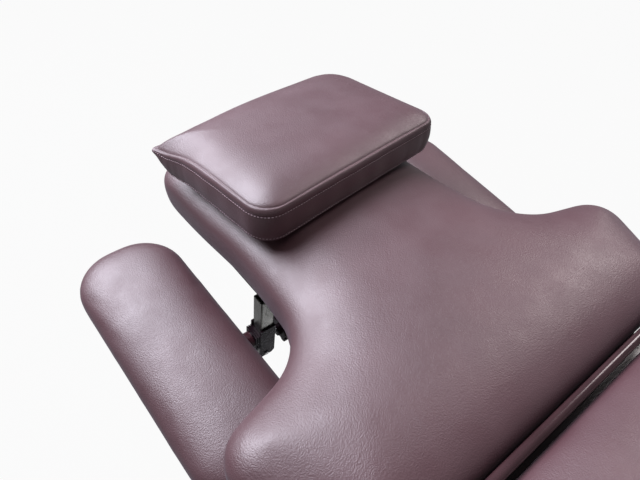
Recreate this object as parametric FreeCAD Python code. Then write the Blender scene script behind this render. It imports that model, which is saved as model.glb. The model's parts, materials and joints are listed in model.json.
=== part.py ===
import FreeCAD, Part
import math
import os
from FreeCAD import Vector

# Beauty treatment bed, millimetres.
# +Z up from the floor, +Y towards the head end, +X towards the far side.
# The origin is on the floor under the middle of the bed.

# Overall sizes
BED_TOP = 650.0            # top of the cushions, bed lowered
BACK_LENGTH = 646.0        # middle of the back fold to the head end
SEAT_LENGTH = 520.0        # middle of one fold to middle of the other
LEG_LENGTH = 664.0         # middle of the leg fold to the foot end
FOLD_GAP = 18.0            # between two cushions, at their fullest
CUSHION_THICK = 90.0
BOARD_THICK = 15.0
BOARD_INSET = 24.0         # board edge inside the cushion's fullest line
SOFT_GAP = 0.3             # between soft pieces of different bodies
PAST = 1.0                 # how far a cutting tool runs past the face it opens

# Back cushion outline, from the middle line and the back fold
WAIST_HALF = 255.0
WING_CORNER_X = 351.0
WING_CORNER_Y = 168.4
WING_RADIUS = 44.0
NECK_RADIUS = 90.0
NECK_CORNER_Y = 215.6
HEAD_HALF = 184.0
HEAD_RADIUS = 55.0
EDGE_ROUND = 40.0          # roll of every cushion edge
FOLD_CORNER = 44.0

# Seat and leg cushion outlines
SEAT_HALF = 296.0
SEAT_FLARE = 190.0         # how far from the back fold the seat grows wider
FOOT_HALF = 276.0
FOOT_RADIUS = 90.0

# Section frames of square tube
TUBE = 30.0
TUBE_WALL = 2.0
TUBE_ROUND = 3.0
BUFFER_THICK = 3.0         # rubber rests between the rails and the back frame
BUFFER_R = 10.0
BUFFER_NEAR = 75.0         # from the back fold
BUFFER_FAR = 22.0          # from the rails' head end
RAIL_X = 115.0             # middle line of the two rails
RAIL_HEIGHT = 50.0
RAIL_PAST_COLUMN = 102.0   # rails' head end from the head column
RAIL_SETBACK = 30.0        # rails' foot end from the leg fold
CROSS_HALF = 236.0         # half length of the slats
SEAT_LEG_SETBACK = 46.0    # first seat slat from the leg fold
SEAT_BACK_SETBACK = 44.0   # last seat slat from the back fold
SEAT_SLAT_INSET = 190.0    # middle seat slats from the folds
BACK_TUBE_SETBACK = 31.0   # back frame's start from the back fold
BACK_CROSS_SETBACK = 61.0  # its first slat
BACK_TUBE_SHORT = 60.0     # its end from the head end
BACK_SLAT_STEP = 110.0     # slat beyond the one at the armrests
WING_ARM_HALF = 190.0
LEG_TUBE_X = 122.0
LEG_TUBE_SETBACK = 22.0    # leg frame's start from the leg fold
LEG_TUBE_SHORT = 70.0      # its end from the foot end
LEG_FIRST_SLAT = 80.0
LEG_FAR_SLAT = 385.0
CAP_HEAD = 2.5             # moulded caps of the tube ends
CAP_PLUG = 12.0
CAP_SLACK = 0.1

# Folds
BACK_PIN_DROP = 30.0       # back hinge line below the cushion top
PIN_R = 6.0
PIN_CLEAR = 0.05
EYE_R = 18.0
HINGE_PLATE = 6.0
HINGE_GAP = 1.0
HINGE_X = 296.0            # inner face of the fixed back hinge plates
PIN_HEAD = 3.0             # pin heads stand out this far all round
PIN_END = 2.0
LUG_R = 15.0               # leg hinge lugs
LUG_REACH = 64.0           # lug's foot on its tube, from the leg fold
ROLL_R = 5.5
ROLL_DROP = 30.0           # bead below the cushion top
ROLL_TAIL = 2.0
ROLL_HALF = 236.0
FLAP_HALF = 205.0          # strips that close the folds from below
FLAP_THICK = 2.0
FLAP_UP = 1.0              # above the board's underside
FLAP_PAST = 7.0            # past the fold's middle, on the back's side
LEG_FLAP_PAST = 5.0

# Lifting columns
COLUMN_FROM_BACK = 111.0   # head column from the back fold
COLUMN_FROM_LEG = 121.0    # foot column from the leg fold
COLUMN_X = 100.0
COLUMN_Y = 150.0
COLUMN_WALL = 4.0
COLUMN_SLACK = 0.4
COLUMN_ROUND = 12.0
STAGE_STEP = 27.0          # how far each stage stands out when lowered
COLUMN_PLATE = 8.0
CHANNEL_HEIGHT = 40.0
CHANNEL_WIDTH = 90.0
CHANNEL_WALL = 4.0
STAGE_LIFT = 12.0          # each inner stage starts this much higher
GROOVE = 1.2
PLATE_MARGIN = 22.0        # base plate round a column
COLLAR_STAND = 2.5
COLLAR_HEIGHT = 6.0
BOLT_R = 7.0               # hexagon heads, across corners
BOLT_HEAD = 6.0
BOLT_EDGE = 11.0           # bolt's middle from the plate's edge

# Base frame
FOOT_HEIGHT = 22.0
FOOT_R = 24.0
FOOT_TAPER = 3.0
FOOT_INSET = 6.0
BASE_TUBE_H = 40.0
BASE_TUBE_W = 60.0
BASE_BEAM_W = 120.0
BASE_HALF = 270.0
BASE_HEAD_REACH = 220.0    # cross feet from the columns
BASE_FOOT_REACH = 340.0
BASE_WALL = 3.0
BASE_ROUND = 5.0

# Turn of the leg section, degrees; its rod is drawn in by it
LEG_TURN = 50.0

# Linear actuators: both pivots lie level, one each side of the hinge
ACTUATOR_X = 152.0
ACTUATOR_R = 20.0
ROD_R = 11.0
BACK_REACH = 182.0
BACK_DROP = 238.0
BACK_SLOT = 20.5           # lost motion of the rod end
LEG_REACH = 222.0
LEG_DROP = 92.0
LEG_SLOT = 10.5
TANG = 20.0
TANG_LENGTH = 34.0
TANG_RIM = 2.0             # tang is smaller than the clevis eye by this
CLEVIS_PLATE = 5.0
CLEVIS_GAP = 0.5
CLEVIS_SPREAD = 8.0
PIVOT_EYE = 14.0
CLEVIS_BAR_HALF = 12.0
CLEVIS_BAR_HIGH = 20.0
CLEVIS_BAR_UP = 8.0
HOUSING_END = 96.0         # along the actuator, from its base pivot
SLEEVE_WALL = 6.0
SLEEVE_SHORT = 46.0        # sleeve ends this far before the rod's pin
BORE_START = 60.0
ROD_START = 70.0
ROD_OVERLAP = 4.0
MOTOR_R = 19.0
MOTOR_DROP = 26.0          # motor's middle below the housing's skin
MOTOR_START = 56.0
MOTOR_END = 150.0
MOTOR_COVER_START = 50.0
MOTOR_COVER_END = 84.0
MOTOR_COVER_TOP = 6.0
MOTOR_COVER_BASE = 34.0
MOTOR_NECK_R = 14.0
MOTOR_NECK_AT = 66.0

# Armrest
ARM_LEAN = 7.5             # degrees, lower end of the tube towards the head end
ARM_TUBE = 22.0
ARM_TUBE_WALL = 1.5
ARM_TUBE_ROUND = 2.0
ARM_WELD_INSET = 1.0       # filler between the back frame and the arm tube
ARM_TUBE_X = 155.0
ARM_Y = 371.0              # from the back fold
PIVOT_DROP = 197.0         # armrest pivot below the cushion top
ARM_TUBE_DOWN = 49.0       # tube's lower end below the pivot
BLOCK_X = 26.0
BLOCK_Y = 28.0
BLOCK_UP = 28.0
BLOCK_DOWN = 45.0
WINDOW_DOWN = 22.0         # sleeve's outboard wall ends here, below the pivot
SLIDE_CLEAR = 0.3
CHAMFER = 5.0
COLLAR_HALF = 13.5         # ridged collar between the sleeve and the hub
COLLAR_UP = 18.0
RIDGES = 3
RIDGE_PITCH = 3.2
RIDGE_WIDE = 1.8
RIDGE_DEEP = 1.6
STUD_BOSS_R = 7.0
STUD_BOSS = 4.0
PAD_X = 277.0
PAD_Y = 2.0
PAD_DROP = 139.0           # pad's middle below the cushion top
PAD_HALF_WIDTH = 76.0
PAD_HALF_LENGTH = 208.0
PAD_THICK = 62.0
PAD_CORNER = 66.0
PAD_ROUND = 28.0
ARM_BOARD_THICK = 10.0
ARM_BOARD_INSET = 22.0
PAD_PITCH = 8.0            # degrees, head end up
PAD_YAW = 3.5              # degrees, head end outwards
HUB_R = 13.4
SPIGOT_R = 8.0
SPIGOT = 5.0
HUB_END_X = 262.0
HUB_FOOT_START = 27.0      # foot plate under the board, along the hub
HUB_FOOT_PAST = 26.0
HUB_FOOT_HALF = 42.0
HUB_FOOT_THICK = 6.0
HUB_FOOT_ROUND = 12.0
RIB_THICK = 5.0
RIB_HALF = 36.0
RIB_ROOT = 10.0
RIB_DROP = 8.0
KNOB_R = 24.0
KNOB_DROP = 16.0           # knob below the pivot
KNOB_WIDTH = 16.0
KNOB_LOBES = 5
KNOB_STAND = 17.0
KNOB_LOBE_R = 7.0
KNOB_LOBE_THIN = 2.0       # lobes are thinner than the knob's middle
KNOB_HUB_R = 9.0
KNOB_HUB = 6.0
STUD_R = 4.0
STUD_PAST = 4.0

# Pillow
PILLOW_WIDTH = 361.0
PILLOW_LENGTH = 264.0
PILLOW_X = 6.0
PILLOW_Y = 476.0           # middle, from the back fold
PILLOW_NECK = 60.0
PILLOW_END = 46.0
PILLOW_TURN = 5.4          # degrees, seen from above
PILLOW_CORNER = 30.0
PILLOW_ROUND = 9.0

# Control box
BOX_LONG = 160.0
BOX_DEEP = 52.0
BOX_HIGH = 72.0
BOX_GAP = 29.0             # from the leg actuator's bracket
ROCKER_LONG = 34.0
ROCKER_HIGH = 20.0
ROCKER_PITCH = 48.0
ROCKER_WELL = 9.0
ROCKER_GAP_Y = 0.8
ROCKER_GAP_Z = 0.5
ROCKER_RIDGE = 2.5         # how far the ends stand out of the box
ROCKER_PIVOT = 3.5         # turning line inside the face
BOX_ROUND = 4.0
BOX_DROP = 2.0             # box top below the rail's top
GLAND_R = 11.0
GLAND_RING = 4.0
GLAND_CONE = 14.0
GLAND_STEP = 1.0
GLAND_MOUTH = 6.5

# Worked-out places
HEAD_Y = (BACK_LENGTH + SEAT_LENGTH + LEG_LENGTH) / 2
BACK_FOLD = HEAD_Y - BACK_LENGTH
LEG_FOLD = BACK_FOLD - SEAT_LENGTH
COLUMN_HEAD_Y = BACK_FOLD + COLUMN_FROM_BACK
COLUMN_FOOT_Y = LEG_FOLD + COLUMN_FROM_LEG
RAIL_HEAD_Y = COLUMN_HEAD_Y + RAIL_PAST_COLUMN
BASE_HEAD_Y = COLUMN_HEAD_Y + BASE_HEAD_REACH
BASE_FOOT_Y = COLUMN_FOOT_Y - BASE_FOOT_REACH
BOX_Y = LEG_FOLD + LEG_REACH + CLEVIS_BAR_HALF + BOX_GAP
CUSHION_BASE = BED_TOP - CUSHION_THICK
BOARD_BASE = CUSHION_BASE - BOARD_THICK
FRAME_BASE = BOARD_BASE - TUBE
RAIL_TOP = FRAME_BASE - BUFFER_THICK
RAIL_BASE = RAIL_TOP - RAIL_HEIGHT
BACK_PIN_Z = BED_TOP - BACK_PIN_DROP
LEG_PIN_Z = FRAME_BASE + TUBE / 2
BASE_TOP = FOOT_HEIGHT + BASE_TUBE_H
COLUMN_BASE = BASE_TOP + COLUMN_PLATE
COLUMN_TOP = RAIL_TOP - CHANNEL_HEIGHT
BACK_PIVOT_Z = BACK_PIN_Z - BACK_DROP
LEG_PIVOT_Z = LEG_PIN_Z - LEG_DROP
ARM_PIVOT_Z = BED_TOP - PIVOT_DROP
ARM_PIVOT_Y = BACK_FOLD + ARM_Y
RAIL_INSIDE = RAIL_X - TUBE / 2
RAIL_OUTSIDE = RAIL_X + TUBE / 2
PAD_BASE_UP = BED_TOP - PAD_DROP - ARM_PIVOT_Z - PAD_THICK / 2
SEAT_CROSS_H = TUBE + BUFFER_THICK
SEAT_CROSS_FOOT = LEG_FOLD + SEAT_LEG_SETBACK
SEAT_CROSS_HEAD = BACK_FOLD - SEAT_BACK_SETBACK
SEAT_SLATS = (SEAT_CROSS_FOOT, LEG_FOLD + SEAT_SLAT_INSET, BACK_FOLD - SEAT_SLAT_INSET)
RAIL_FOOT_Y = LEG_FOLD + RAIL_SETBACK
STAGE_SHRINK = COLUMN_WALL + COLUMN_SLACK
OUTER_TOP = COLUMN_TOP - COLUMN_PLATE - 2 * STAGE_STEP
MID_TOP = OUTER_TOP + STAGE_STEP
BACK_TUBE_START = BACK_FOLD + BACK_TUBE_SETBACK
BACK_CROSS_HINGE = BACK_FOLD + BACK_CROSS_SETBACK
BACK_CROSS_ACTUATOR = BACK_FOLD + BACK_REACH
BACK_TUBE_END = HEAD_Y - BACK_TUBE_SHORT
LEG_TUBE_START = LEG_FOLD - LEG_TUBE_SETBACK
LEG_TUBE_END = -HEAD_Y + LEG_TUBE_SHORT
LEG_SLATS = (LEG_FOLD - LEG_FIRST_SLAT, LEG_FOLD - LEG_REACH, LEG_FOLD - LEG_FAR_SLAT)
BOX_FACE = -RAIL_OUTSIDE
BOX_OUT = BOX_FACE - BOX_DEEP
BOX_BASE = RAIL_TOP - BOX_HIGH - BOX_DROP
HUB_START = ARM_TUBE_X + BLOCK_X / 2 + (RIDGES - 1) * RIDGE_PITCH + RIDGE_WIDE
STUD_Z = ARM_PIVOT_Z - KNOB_DROP

os.makedirs("parts", exist_ok=True)


def export(name, *solids):
    """Write one node, as one solid or as a group of separate solids."""
    shape = solids[0] if len(solids) == 1 else Part.makeCompound(list(solids))
    shape.exportStep("parts/" + name + ".step")


def block(x0, x1, y0, y1, z0, z1):
    corner = Vector(min(x0, x1), min(y0, y1), min(z0, z1))
    return Part.makeBox(abs(x1 - x0), abs(y1 - y0), abs(z1 - z0), corner)


def cylinder(radius, start, end):
    axis = end - start
    return Part.makeCylinder(radius, axis.Length, start, axis)


def fuse(solids):
    joined = solids[0].multiFuse(solids[1:])
    return joined.removeSplitter()


def mirror_x(shape):
    return shape.mirror(Vector(0, 0, 0), Vector(1, 0, 0))


def rounded_outline(corners, z):
    """Closed wire through corners (x, y, radius), each corner an arc."""
    count = len(corners)
    edges = []
    ends = []
    for i in range(count):
        here = Vector(corners[i][0], corners[i][1], z)
        before = Vector(corners[i - 1][0], corners[i - 1][1], z) - here
        after = Vector(corners[(i + 1) % count][0], corners[(i + 1) % count][1], z) - here
        before.normalize()
        after.normalize()
        half = before.getAngle(after) / 2
        radius = corners[i][2]
        reach = radius / math.tan(half)
        bisector = (before + after).normalize()
        middle = here + bisector * (radius / math.sin(half) - radius)
        ends.append((here + before * reach, middle, here + after * reach))
    for i in range(count):
        start, middle, end = ends[i]
        edges.append(Part.Arc(start, middle, end).toShape())
        edges.append(Part.makeLine(end, ends[(i + 1) % count][0]))
    return Part.Wire(edges)


def rectangle(half_x, half_y, radius):
    """Corners of a centred rectangle with one corner radius."""
    return [(half_x, -half_y, radius), (half_x, half_y, radius),
            (-half_x, half_y, radius), (-half_x, -half_y, radius)]


def mirrored(corners):
    """Corners of the right half, followed by their mirror images."""
    return corners + [(-x, y, r) for x, y, r in reversed(corners)]


def slab(corners, z0, z1, inset=0.0):
    wire = rounded_outline(corners, z0)
    face = Part.Face(wire)
    if inset:
        face = Part.Face(wire.makeOffset2D(-inset))
    return face.extrude(Vector(0, 0, z1 - z0))


def rolled(solid, radius, z_faces):
    """Round the edges of a slab's flat faces at the given heights."""
    edges = []
    for edge in solid.Edges:
        box = edge.BoundBox
        for z in z_faces:
            if abs(box.ZMin - z) < 0.01 and abs(box.ZMax - z) < 0.01:
                edges.append(edge)
    return solid.makeFillet(radius, edges)


def profile_face(wide, high, radius):
    return Part.Face(rounded_outline(rectangle(wide / 2, high / 2, radius), 0))


def turned_along(solid, way):
    """Turn a solid built upwards from z = 0 to run along +x, -x, +y or -y."""
    turns = {"+y": 180, "-y": 0, "+x": 90, "-x": -90}
    solid.rotate(Vector(0, 0, 0), Vector(1, 0, 0), 90)
    solid.rotate(Vector(0, 0, 0), Vector(0, 0, 1), turns[way])
    return solid


def way_x(side):
    return "+x" if side > 0 else "-x"


def tube(start, end, wide, high, wall, radius):
    """Hollow rectangular tube along X, Y or Z; wide is its first cross size."""
    run = end - start
    outer = profile_face(wide, high, radius)
    inner = profile_face(wide - 2 * wall, high - 2 * wall, radius / 2)
    solid = outer.cut(inner).extrude(Vector(0, 0, run.Length))
    if abs(run.x) > 1e-6:
        turned_along(solid, way_x(run.x))
    elif abs(run.y) > 1e-6:
        turned_along(solid, "+y" if run.y > 0 else "-y")
    solid.translate(start)
    return solid


def frame_tube(x0, y0, x1, y1, z0, height=TUBE):
    z = z0 + height / 2
    return tube(Vector(x0, y0, z), Vector(x1, y1, z), TUBE, height, TUBE_WALL, TUBE_ROUND)


def end_cap(x, y, z, way, wide, high, wall=TUBE_WALL):
    """Moulded cap: a thin head on the tube's end and a plug inside it."""
    inset = 2 * (wall + CAP_SLACK)
    head = profile_face(wide, high, TUBE_ROUND).extrude(Vector(0, 0, CAP_HEAD))
    plug = profile_face(wide - inset, high - inset, TUBE_ROUND).extrude(Vector(0, 0, -CAP_PLUG))
    solid = turned_along(head.fuse(plug), way)
    solid.translate(Vector(x, y, z))
    return solid


def eye_plate(x0, x1, eye_y, eye_z, eye_r, bore, foot_y0, foot_y1, foot_z):
    """Flat plate square to X: a round eye blended into a wider foot."""
    eye = cylinder(eye_r, Vector(x0, eye_y, eye_z), Vector(x1, eye_y, eye_z))
    spread = 1 if foot_z < eye_z else -1
    left = Vector(x0, foot_y0, foot_z)
    right = Vector(x0, foot_y1, foot_z)
    blade = []
    for foot, side in ((left, -1), (right, 1)):
        run = Vector(0, eye_y - foot.y, eye_z - foot.z)
        reach = math.sqrt(run.Length ** 2 - eye_r ** 2)
        lean = math.atan2(run.z, run.y) - side * spread * math.asin(eye_r / run.Length)
        blade.append(foot + Vector(0, reach * math.cos(lean), reach * math.sin(lean)))
    points = [left, blade[0], Vector(x0, eye_y, eye_z), blade[1], right, left]
    plate = Part.Face(Part.makePolygon(points)).extrude(Vector(x1 - x0, 0, 0))
    hole = cylinder(bore, Vector(x0 - PAST, eye_y, eye_z), Vector(x1 + PAST, eye_y, eye_z))
    return plate.fuse(eye).removeSplitter().cut(hole)


def clevis(x, y, z, top_z):
    """Two eye plates hanging from top_z, one each side of a tang at x."""
    plates = []
    spread = TUBE / 2 + CLEVIS_SPREAD
    for side in (-1, 1):
        inner = x + side * (TANG / 2 + CLEVIS_GAP)
        near, far = sorted((inner, inner + side * CLEVIS_PLATE))
        plates.append(eye_plate(near, far, y, z, PIVOT_EYE, PIN_R, y - spread, y + spread, top_z))
    return plates


def pin(x0, x1, y, z):
    """Headed pin along X, its head at x0 and its riveted end at x1."""
    way = math.copysign(1, x1 - x0)
    shank = cylinder(PIN_R, Vector(x0, y, z), Vector(x1, y, z))
    head = cylinder(PIN_R + PIN_HEAD, Vector(x0 - way * PIN_HEAD, y, z), Vector(x0, y, z))
    riveted = cylinder(PIN_R + PIN_HEAD, Vector(x1, y, z), Vector(x1 + way * PIN_END, y, z))
    return fuse([shank, head, riveted])


# Cushions: foam on a board under one leather cover, every edge rolled
def back_corners():
    right = [
        (WAIST_HALF, BACK_FOLD + FOLD_GAP / 2, FOLD_CORNER),
        (WING_CORNER_X, BACK_FOLD + WING_CORNER_Y, WING_RADIUS),
        (HEAD_HALF, BACK_FOLD + NECK_CORNER_Y, NECK_RADIUS),
        (HEAD_HALF, HEAD_Y, HEAD_RADIUS),
    ]
    return mirrored(right)


def seat_corners():
    right = [
        (SEAT_HALF, LEG_FOLD + FOLD_GAP / 2, FOLD_CORNER),
        (SEAT_HALF, BACK_FOLD - SEAT_FLARE, SEAT_FLARE / 2),
        (WAIST_HALF, BACK_FOLD - FOLD_GAP / 2, FOLD_CORNER),
    ]
    return mirrored(right)


def leg_corners():
    right = [
        (FOOT_HALF, -HEAD_Y, FOOT_RADIUS),
        (SEAT_HALF, LEG_FOLD - FOLD_GAP / 2, FOLD_CORNER),
    ]
    return mirrored(right)


def cushion(corners):
    body = slab(corners, CUSHION_BASE, BED_TOP)
    return rolled(body, EDGE_ROUND, (CUSHION_BASE, BED_TOP))


def board(corners):
    return slab(corners, BOARD_BASE, CUSHION_BASE, BOARD_INSET)


sections = {"back": back_corners(), "seat": seat_corners(), "leg": leg_corners()}
for section, outline in sections.items():
    export(section + "_cushion", cushion(outline))
    export(section + "_board", board(outline))


# Fold rolls: a leather-covered bead in each fold, its tail fixed to the seat board
def fold_roll(fold_y, board_side):
    roll_z = BED_TOP - ROLL_DROP
    lip_z = BOARD_BASE + BOARD_THICK / 3
    lip_half = ROLL_HALF - FOLD_CORNER
    board_edge = fold_y + board_side * (FOLD_GAP / 2 + BOARD_INSET)
    bead = cylinder(ROLL_R, Vector(-ROLL_HALF, fold_y, roll_z), Vector(ROLL_HALF, fold_y, roll_z))
    tail = block(-ROLL_HALF, ROLL_HALF, fold_y - ROLL_TAIL / 2, fold_y + ROLL_TAIL / 2, lip_z, roll_z)
    lip = block(-lip_half, lip_half, fold_y, board_edge, lip_z, lip_z + ROLL_TAIL)
    return fuse([bead, tail, lip])


export("fold_roll_back", fold_roll(BACK_FOLD, -1))
export("fold_roll_leg", fold_roll(LEG_FOLD, 1))


# Fold flaps: strips on the edge of the back and leg boards that reach under the seat's lips
def fold_flap(fold_y, way, past):
    base = BOARD_BASE + FLAP_UP
    board_edge = fold_y + way * (FOLD_GAP / 2 + BOARD_INSET)
    return block(-FLAP_HALF, FLAP_HALF, fold_y - way * past, board_edge, base, base + FLAP_THICK)


export("back_flap", fold_flap(BACK_FOLD, 1, FLAP_PAST))
export("leg_flap", fold_flap(LEG_FOLD, -1, LEG_FLAP_PAST))


# Pillow: a turned wedge, full at the neck and thin at the head end
def pillow():
    half_x, half_y = PILLOW_WIDTH / 2, PILLOW_LENGTH / 2
    side = Part.makePolygon([
        Vector(-half_x, -half_y, 0), Vector(-half_x, half_y, 0), Vector(-half_x, half_y, PILLOW_END),
        Vector(-half_x, -half_y, PILLOW_NECK), Vector(-half_x, -half_y, 0)])
    wedge = Part.Face(side).extrude(Vector(PILLOW_WIDTH, 0, 0))
    body = slab(rectangle(half_x, half_y, PILLOW_CORNER), 0, PILLOW_NECK).common(wedge)
    top = [edge for edge in body.Edges if edge.BoundBox.ZMin > PILLOW_END / 2]
    body = body.makeFillet(PILLOW_ROUND, top)
    body.rotate(Vector(0, 0, 0), Vector(0, 0, 1), PILLOW_TURN)
    body.translate(Vector(PILLOW_X, BACK_FOLD + PILLOW_Y, BED_TOP + SOFT_GAP))
    return body


export("pillow", pillow())


# Base frame: one wide beam and two cross feet of steel tube, with column plates
def base_frame():
    z = FOOT_HEIGHT + BASE_TUBE_H / 2
    half = BASE_TUBE_W / 2
    plate_x = COLUMN_X / 2 + PLATE_MARGIN
    plate_y = COLUMN_Y / 2 + PLATE_MARGIN
    parts = []
    for y in (BASE_FOOT_Y, BASE_HEAD_Y):
        parts.append(tube(Vector(-BASE_HALF, y, z), Vector(BASE_HALF, y, z),
                          BASE_TUBE_W, BASE_TUBE_H, BASE_WALL, BASE_ROUND))
    parts.append(tube(Vector(0, BASE_FOOT_Y + half, z), Vector(0, BASE_HEAD_Y - half, z),
                      BASE_BEAM_W, BASE_TUBE_H, BASE_WALL, BASE_ROUND))
    for y in (COLUMN_FOOT_Y, COLUMN_HEAD_Y):
        parts.append(block(-plate_x, plate_x, y - plate_y, y + plate_y, BASE_TOP, COLUMN_BASE))
    return fuse(parts)


def rubber_foot(x, y):
    return Part.makeCone(FOOT_R - FOOT_TAPER, FOOT_R, FOOT_HEIGHT, Vector(x, y, 0))


base_caps = []
base_feet = []
for side in (-1, 1):
    for y in (BASE_FOOT_Y, BASE_HEAD_Y):
        base_caps.append(end_cap(side * BASE_HALF, y, FOOT_HEIGHT + BASE_TUBE_H / 2, way_x(side),
                                 BASE_TUBE_W, BASE_TUBE_H, BASE_WALL))
        base_feet.append(rubber_foot(side * (BASE_HALF - FOOT_R - FOOT_INSET), y))
export("base_frame", base_frame())
export("base_end_caps", *base_caps)
export("base_feet", *base_feet)


# Lifting columns: three telescoping aluminium profiles each
def column_stage(y, shrink, z0, z1):
    """Hollow profile with a shallow groove down the middle of each wide face."""
    wide, deep = COLUMN_X - 2 * shrink, COLUMN_Y - 2 * shrink
    round_out = COLUMN_ROUND - shrink / 2
    round_in = max(round_out - COLUMN_WALL, COLUMN_WALL / 2)
    outer = profile_face(wide, deep, round_out)
    inner = profile_face(wide - 2 * COLUMN_WALL, deep - 2 * COLUMN_WALL, round_in)
    stage = outer.cut(inner).extrude(Vector(0, 0, z1 - z0))
    for side in (-1, 1):
        skin = side * wide / 2
        stage = stage.cut(block(skin, skin - side * GROOVE, -deep / 6, deep / 6, 0, z1 - z0))
    stage.translate(Vector(0, y, z0))
    return stage


def column_collar(y):
    outer = profile_face(COLUMN_X + 2 * COLLAR_STAND, COLUMN_Y + 2 * COLLAR_STAND,
                         COLUMN_ROUND + COLLAR_STAND)
    inner = profile_face(COLUMN_X - 2 * COLUMN_WALL, COLUMN_Y - 2 * COLUMN_WALL,
                         COLUMN_ROUND - COLUMN_WALL)
    collar = outer.cut(inner).extrude(Vector(0, 0, COLLAR_HEIGHT))
    collar.translate(Vector(0, y, OUTER_TOP))
    return collar


def bolt_head(x, y):
    corners = [60 * k for k in range(7)]
    points = [Vector(x + BOLT_R * math.cos(math.radians(turn)),
                     y + BOLT_R * math.sin(math.radians(turn)), COLUMN_BASE) for turn in corners]
    return Part.Face(Part.makePolygon(points)).extrude(Vector(0, 0, BOLT_HEAD))


bolts = []
collars = []
for name, column_y in (("head", COLUMN_HEAD_Y), ("foot", COLUMN_FOOT_Y)):
    outer_stage = column_stage(column_y, 0, COLUMN_BASE, OUTER_TOP)
    mid_stage = column_stage(column_y, STAGE_SHRINK, COLUMN_BASE + STAGE_LIFT, MID_TOP)
    inner_stage = column_stage(column_y, 2 * STAGE_SHRINK, COLUMN_BASE + 2 * STAGE_LIFT,
                               COLUMN_TOP - COLUMN_PLATE)
    plate_half = COLUMN_Y / 2 - 2 * STAGE_SHRINK
    head_plate = block(-COLUMN_X / 2, COLUMN_X / 2, column_y - plate_half, column_y + plate_half,
                       COLUMN_TOP - COLUMN_PLATE, COLUMN_TOP)
    export("column_outer_" + name, outer_stage)
    export("column_mid_" + name, mid_stage)
    export("column_inner_" + name, fuse([inner_stage, head_plate]))
    collars.append(column_collar(column_y))
    for side_x in (-1, 1):
        for side_y in (-1, 1):
            bolts.append(bolt_head(side_x * (COLUMN_X / 2 + PLATE_MARGIN - BOLT_EDGE),
                                   column_y + side_y * (COLUMN_Y / 2 + PLATE_MARGIN - BOLT_EDGE)))
export("column_collars", *collars)
export("column_bolts", *bolts)


# Lift frame: two rails, column channels, seat slats, hinge plates and clevises
def leg_lug(side, x_in, bore, foot_y):
    """Flat hinge lug beside a frame tube: eye on the leg pin, strap on the tube."""
    low, high = sorted((side * x_in, side * (x_in + HINGE_PLATE)))
    eye = cylinder(LUG_R, Vector(low, LEG_FOLD, LEG_PIN_Z), Vector(high, LEG_FOLD, LEG_PIN_Z))
    strap = block(low, high, LEG_FOLD, foot_y, LEG_PIN_Z - LUG_R, LEG_PIN_Z + LUG_R)
    hole_start = Vector(low - PAST, LEG_FOLD, LEG_PIN_Z)
    hole = cylinder(bore, hole_start, Vector(high + PAST, LEG_FOLD, LEG_PIN_Z))
    return eye.fuse(strap).removeSplitter().cut(hole)


def column_channel(y):
    half = CHANNEL_WIDTH / 2
    channel = block(-RAIL_INSIDE, RAIL_INSIDE, y - half, y + half, COLUMN_TOP, RAIL_TOP)
    hollow = block(-RAIL_INSIDE, RAIL_INSIDE, y - half + CHANNEL_WALL, y + half - CHANNEL_WALL,
                   COLUMN_TOP + CHANNEL_WALL, RAIL_TOP)
    return channel.cut(hollow)


def rail_tube(start, end):
    return tube(start, end, TUBE, RAIL_HEIGHT, TUBE_WALL, TUBE_ROUND)


def actuator_bracket(x, y, z):
    """Bar out of the rail's side with a clevis hanging from it."""
    side = math.copysign(1, x)
    base = RAIL_BASE + CLEVIS_BAR_UP
    reach = x + side * (TANG / 2 + CLEVIS_GAP + CLEVIS_PLATE)
    bar = block(side * RAIL_OUTSIDE, reach, y - CLEVIS_BAR_HALF, y + CLEVIS_BAR_HALF,
                base, base + CLEVIS_BAR_HIGH)
    return [bar] + clevis(x, y, z, base)


def lift_frame():
    rail_z = RAIL_BASE + RAIL_HEIGHT / 2
    end_y = RAIL_HEAD_Y - TUBE / 2
    parts = [rail_tube(Vector(-RAIL_INSIDE, end_y, rail_z), Vector(RAIL_INSIDE, end_y, rail_z))]
    for y in (COLUMN_FOOT_Y, COLUMN_HEAD_Y):
        parts.append(column_channel(y))
    for y in SEAT_SLATS:
        parts.append(frame_tube(-CROSS_HALF, y, CROSS_HALF, y, RAIL_TOP, SEAT_CROSS_H))
    parts.append(frame_tube(-HINGE_X, SEAT_CROSS_HEAD, HINGE_X, SEAT_CROSS_HEAD, RAIL_TOP, SEAT_CROSS_H))
    for side in (-1, 1):
        x = side * RAIL_X
        parts.append(rail_tube(Vector(x, RAIL_FOOT_Y, rail_z), Vector(x, RAIL_HEAD_Y, rail_z)))
        parts.append(block(x - TUBE / 2, x + TUBE / 2, RAIL_FOOT_Y, SEAT_CROSS_FOOT - TUBE / 2,
                           RAIL_TOP, BOARD_BASE))
        near, far = sorted((side * HINGE_X, side * (HINGE_X + HINGE_PLATE)))
        parts.append(eye_plate(near, far, BACK_FOLD, BACK_PIN_Z, EYE_R, PIN_R,
                               SEAT_CROSS_HEAD - TUBE / 2, SEAT_CROSS_HEAD + TUBE / 2, RAIL_TOP))
        parts.append(leg_lug(side, RAIL_OUTSIDE, PIN_R, LEG_FOLD + LUG_REACH))
    parts += actuator_bracket(ACTUATOR_X, BACK_FOLD - BACK_REACH, BACK_PIVOT_Z)
    parts += actuator_bracket(-ACTUATOR_X, LEG_FOLD + LEG_REACH, LEG_PIVOT_Z)
    return fuse(parts)


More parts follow.
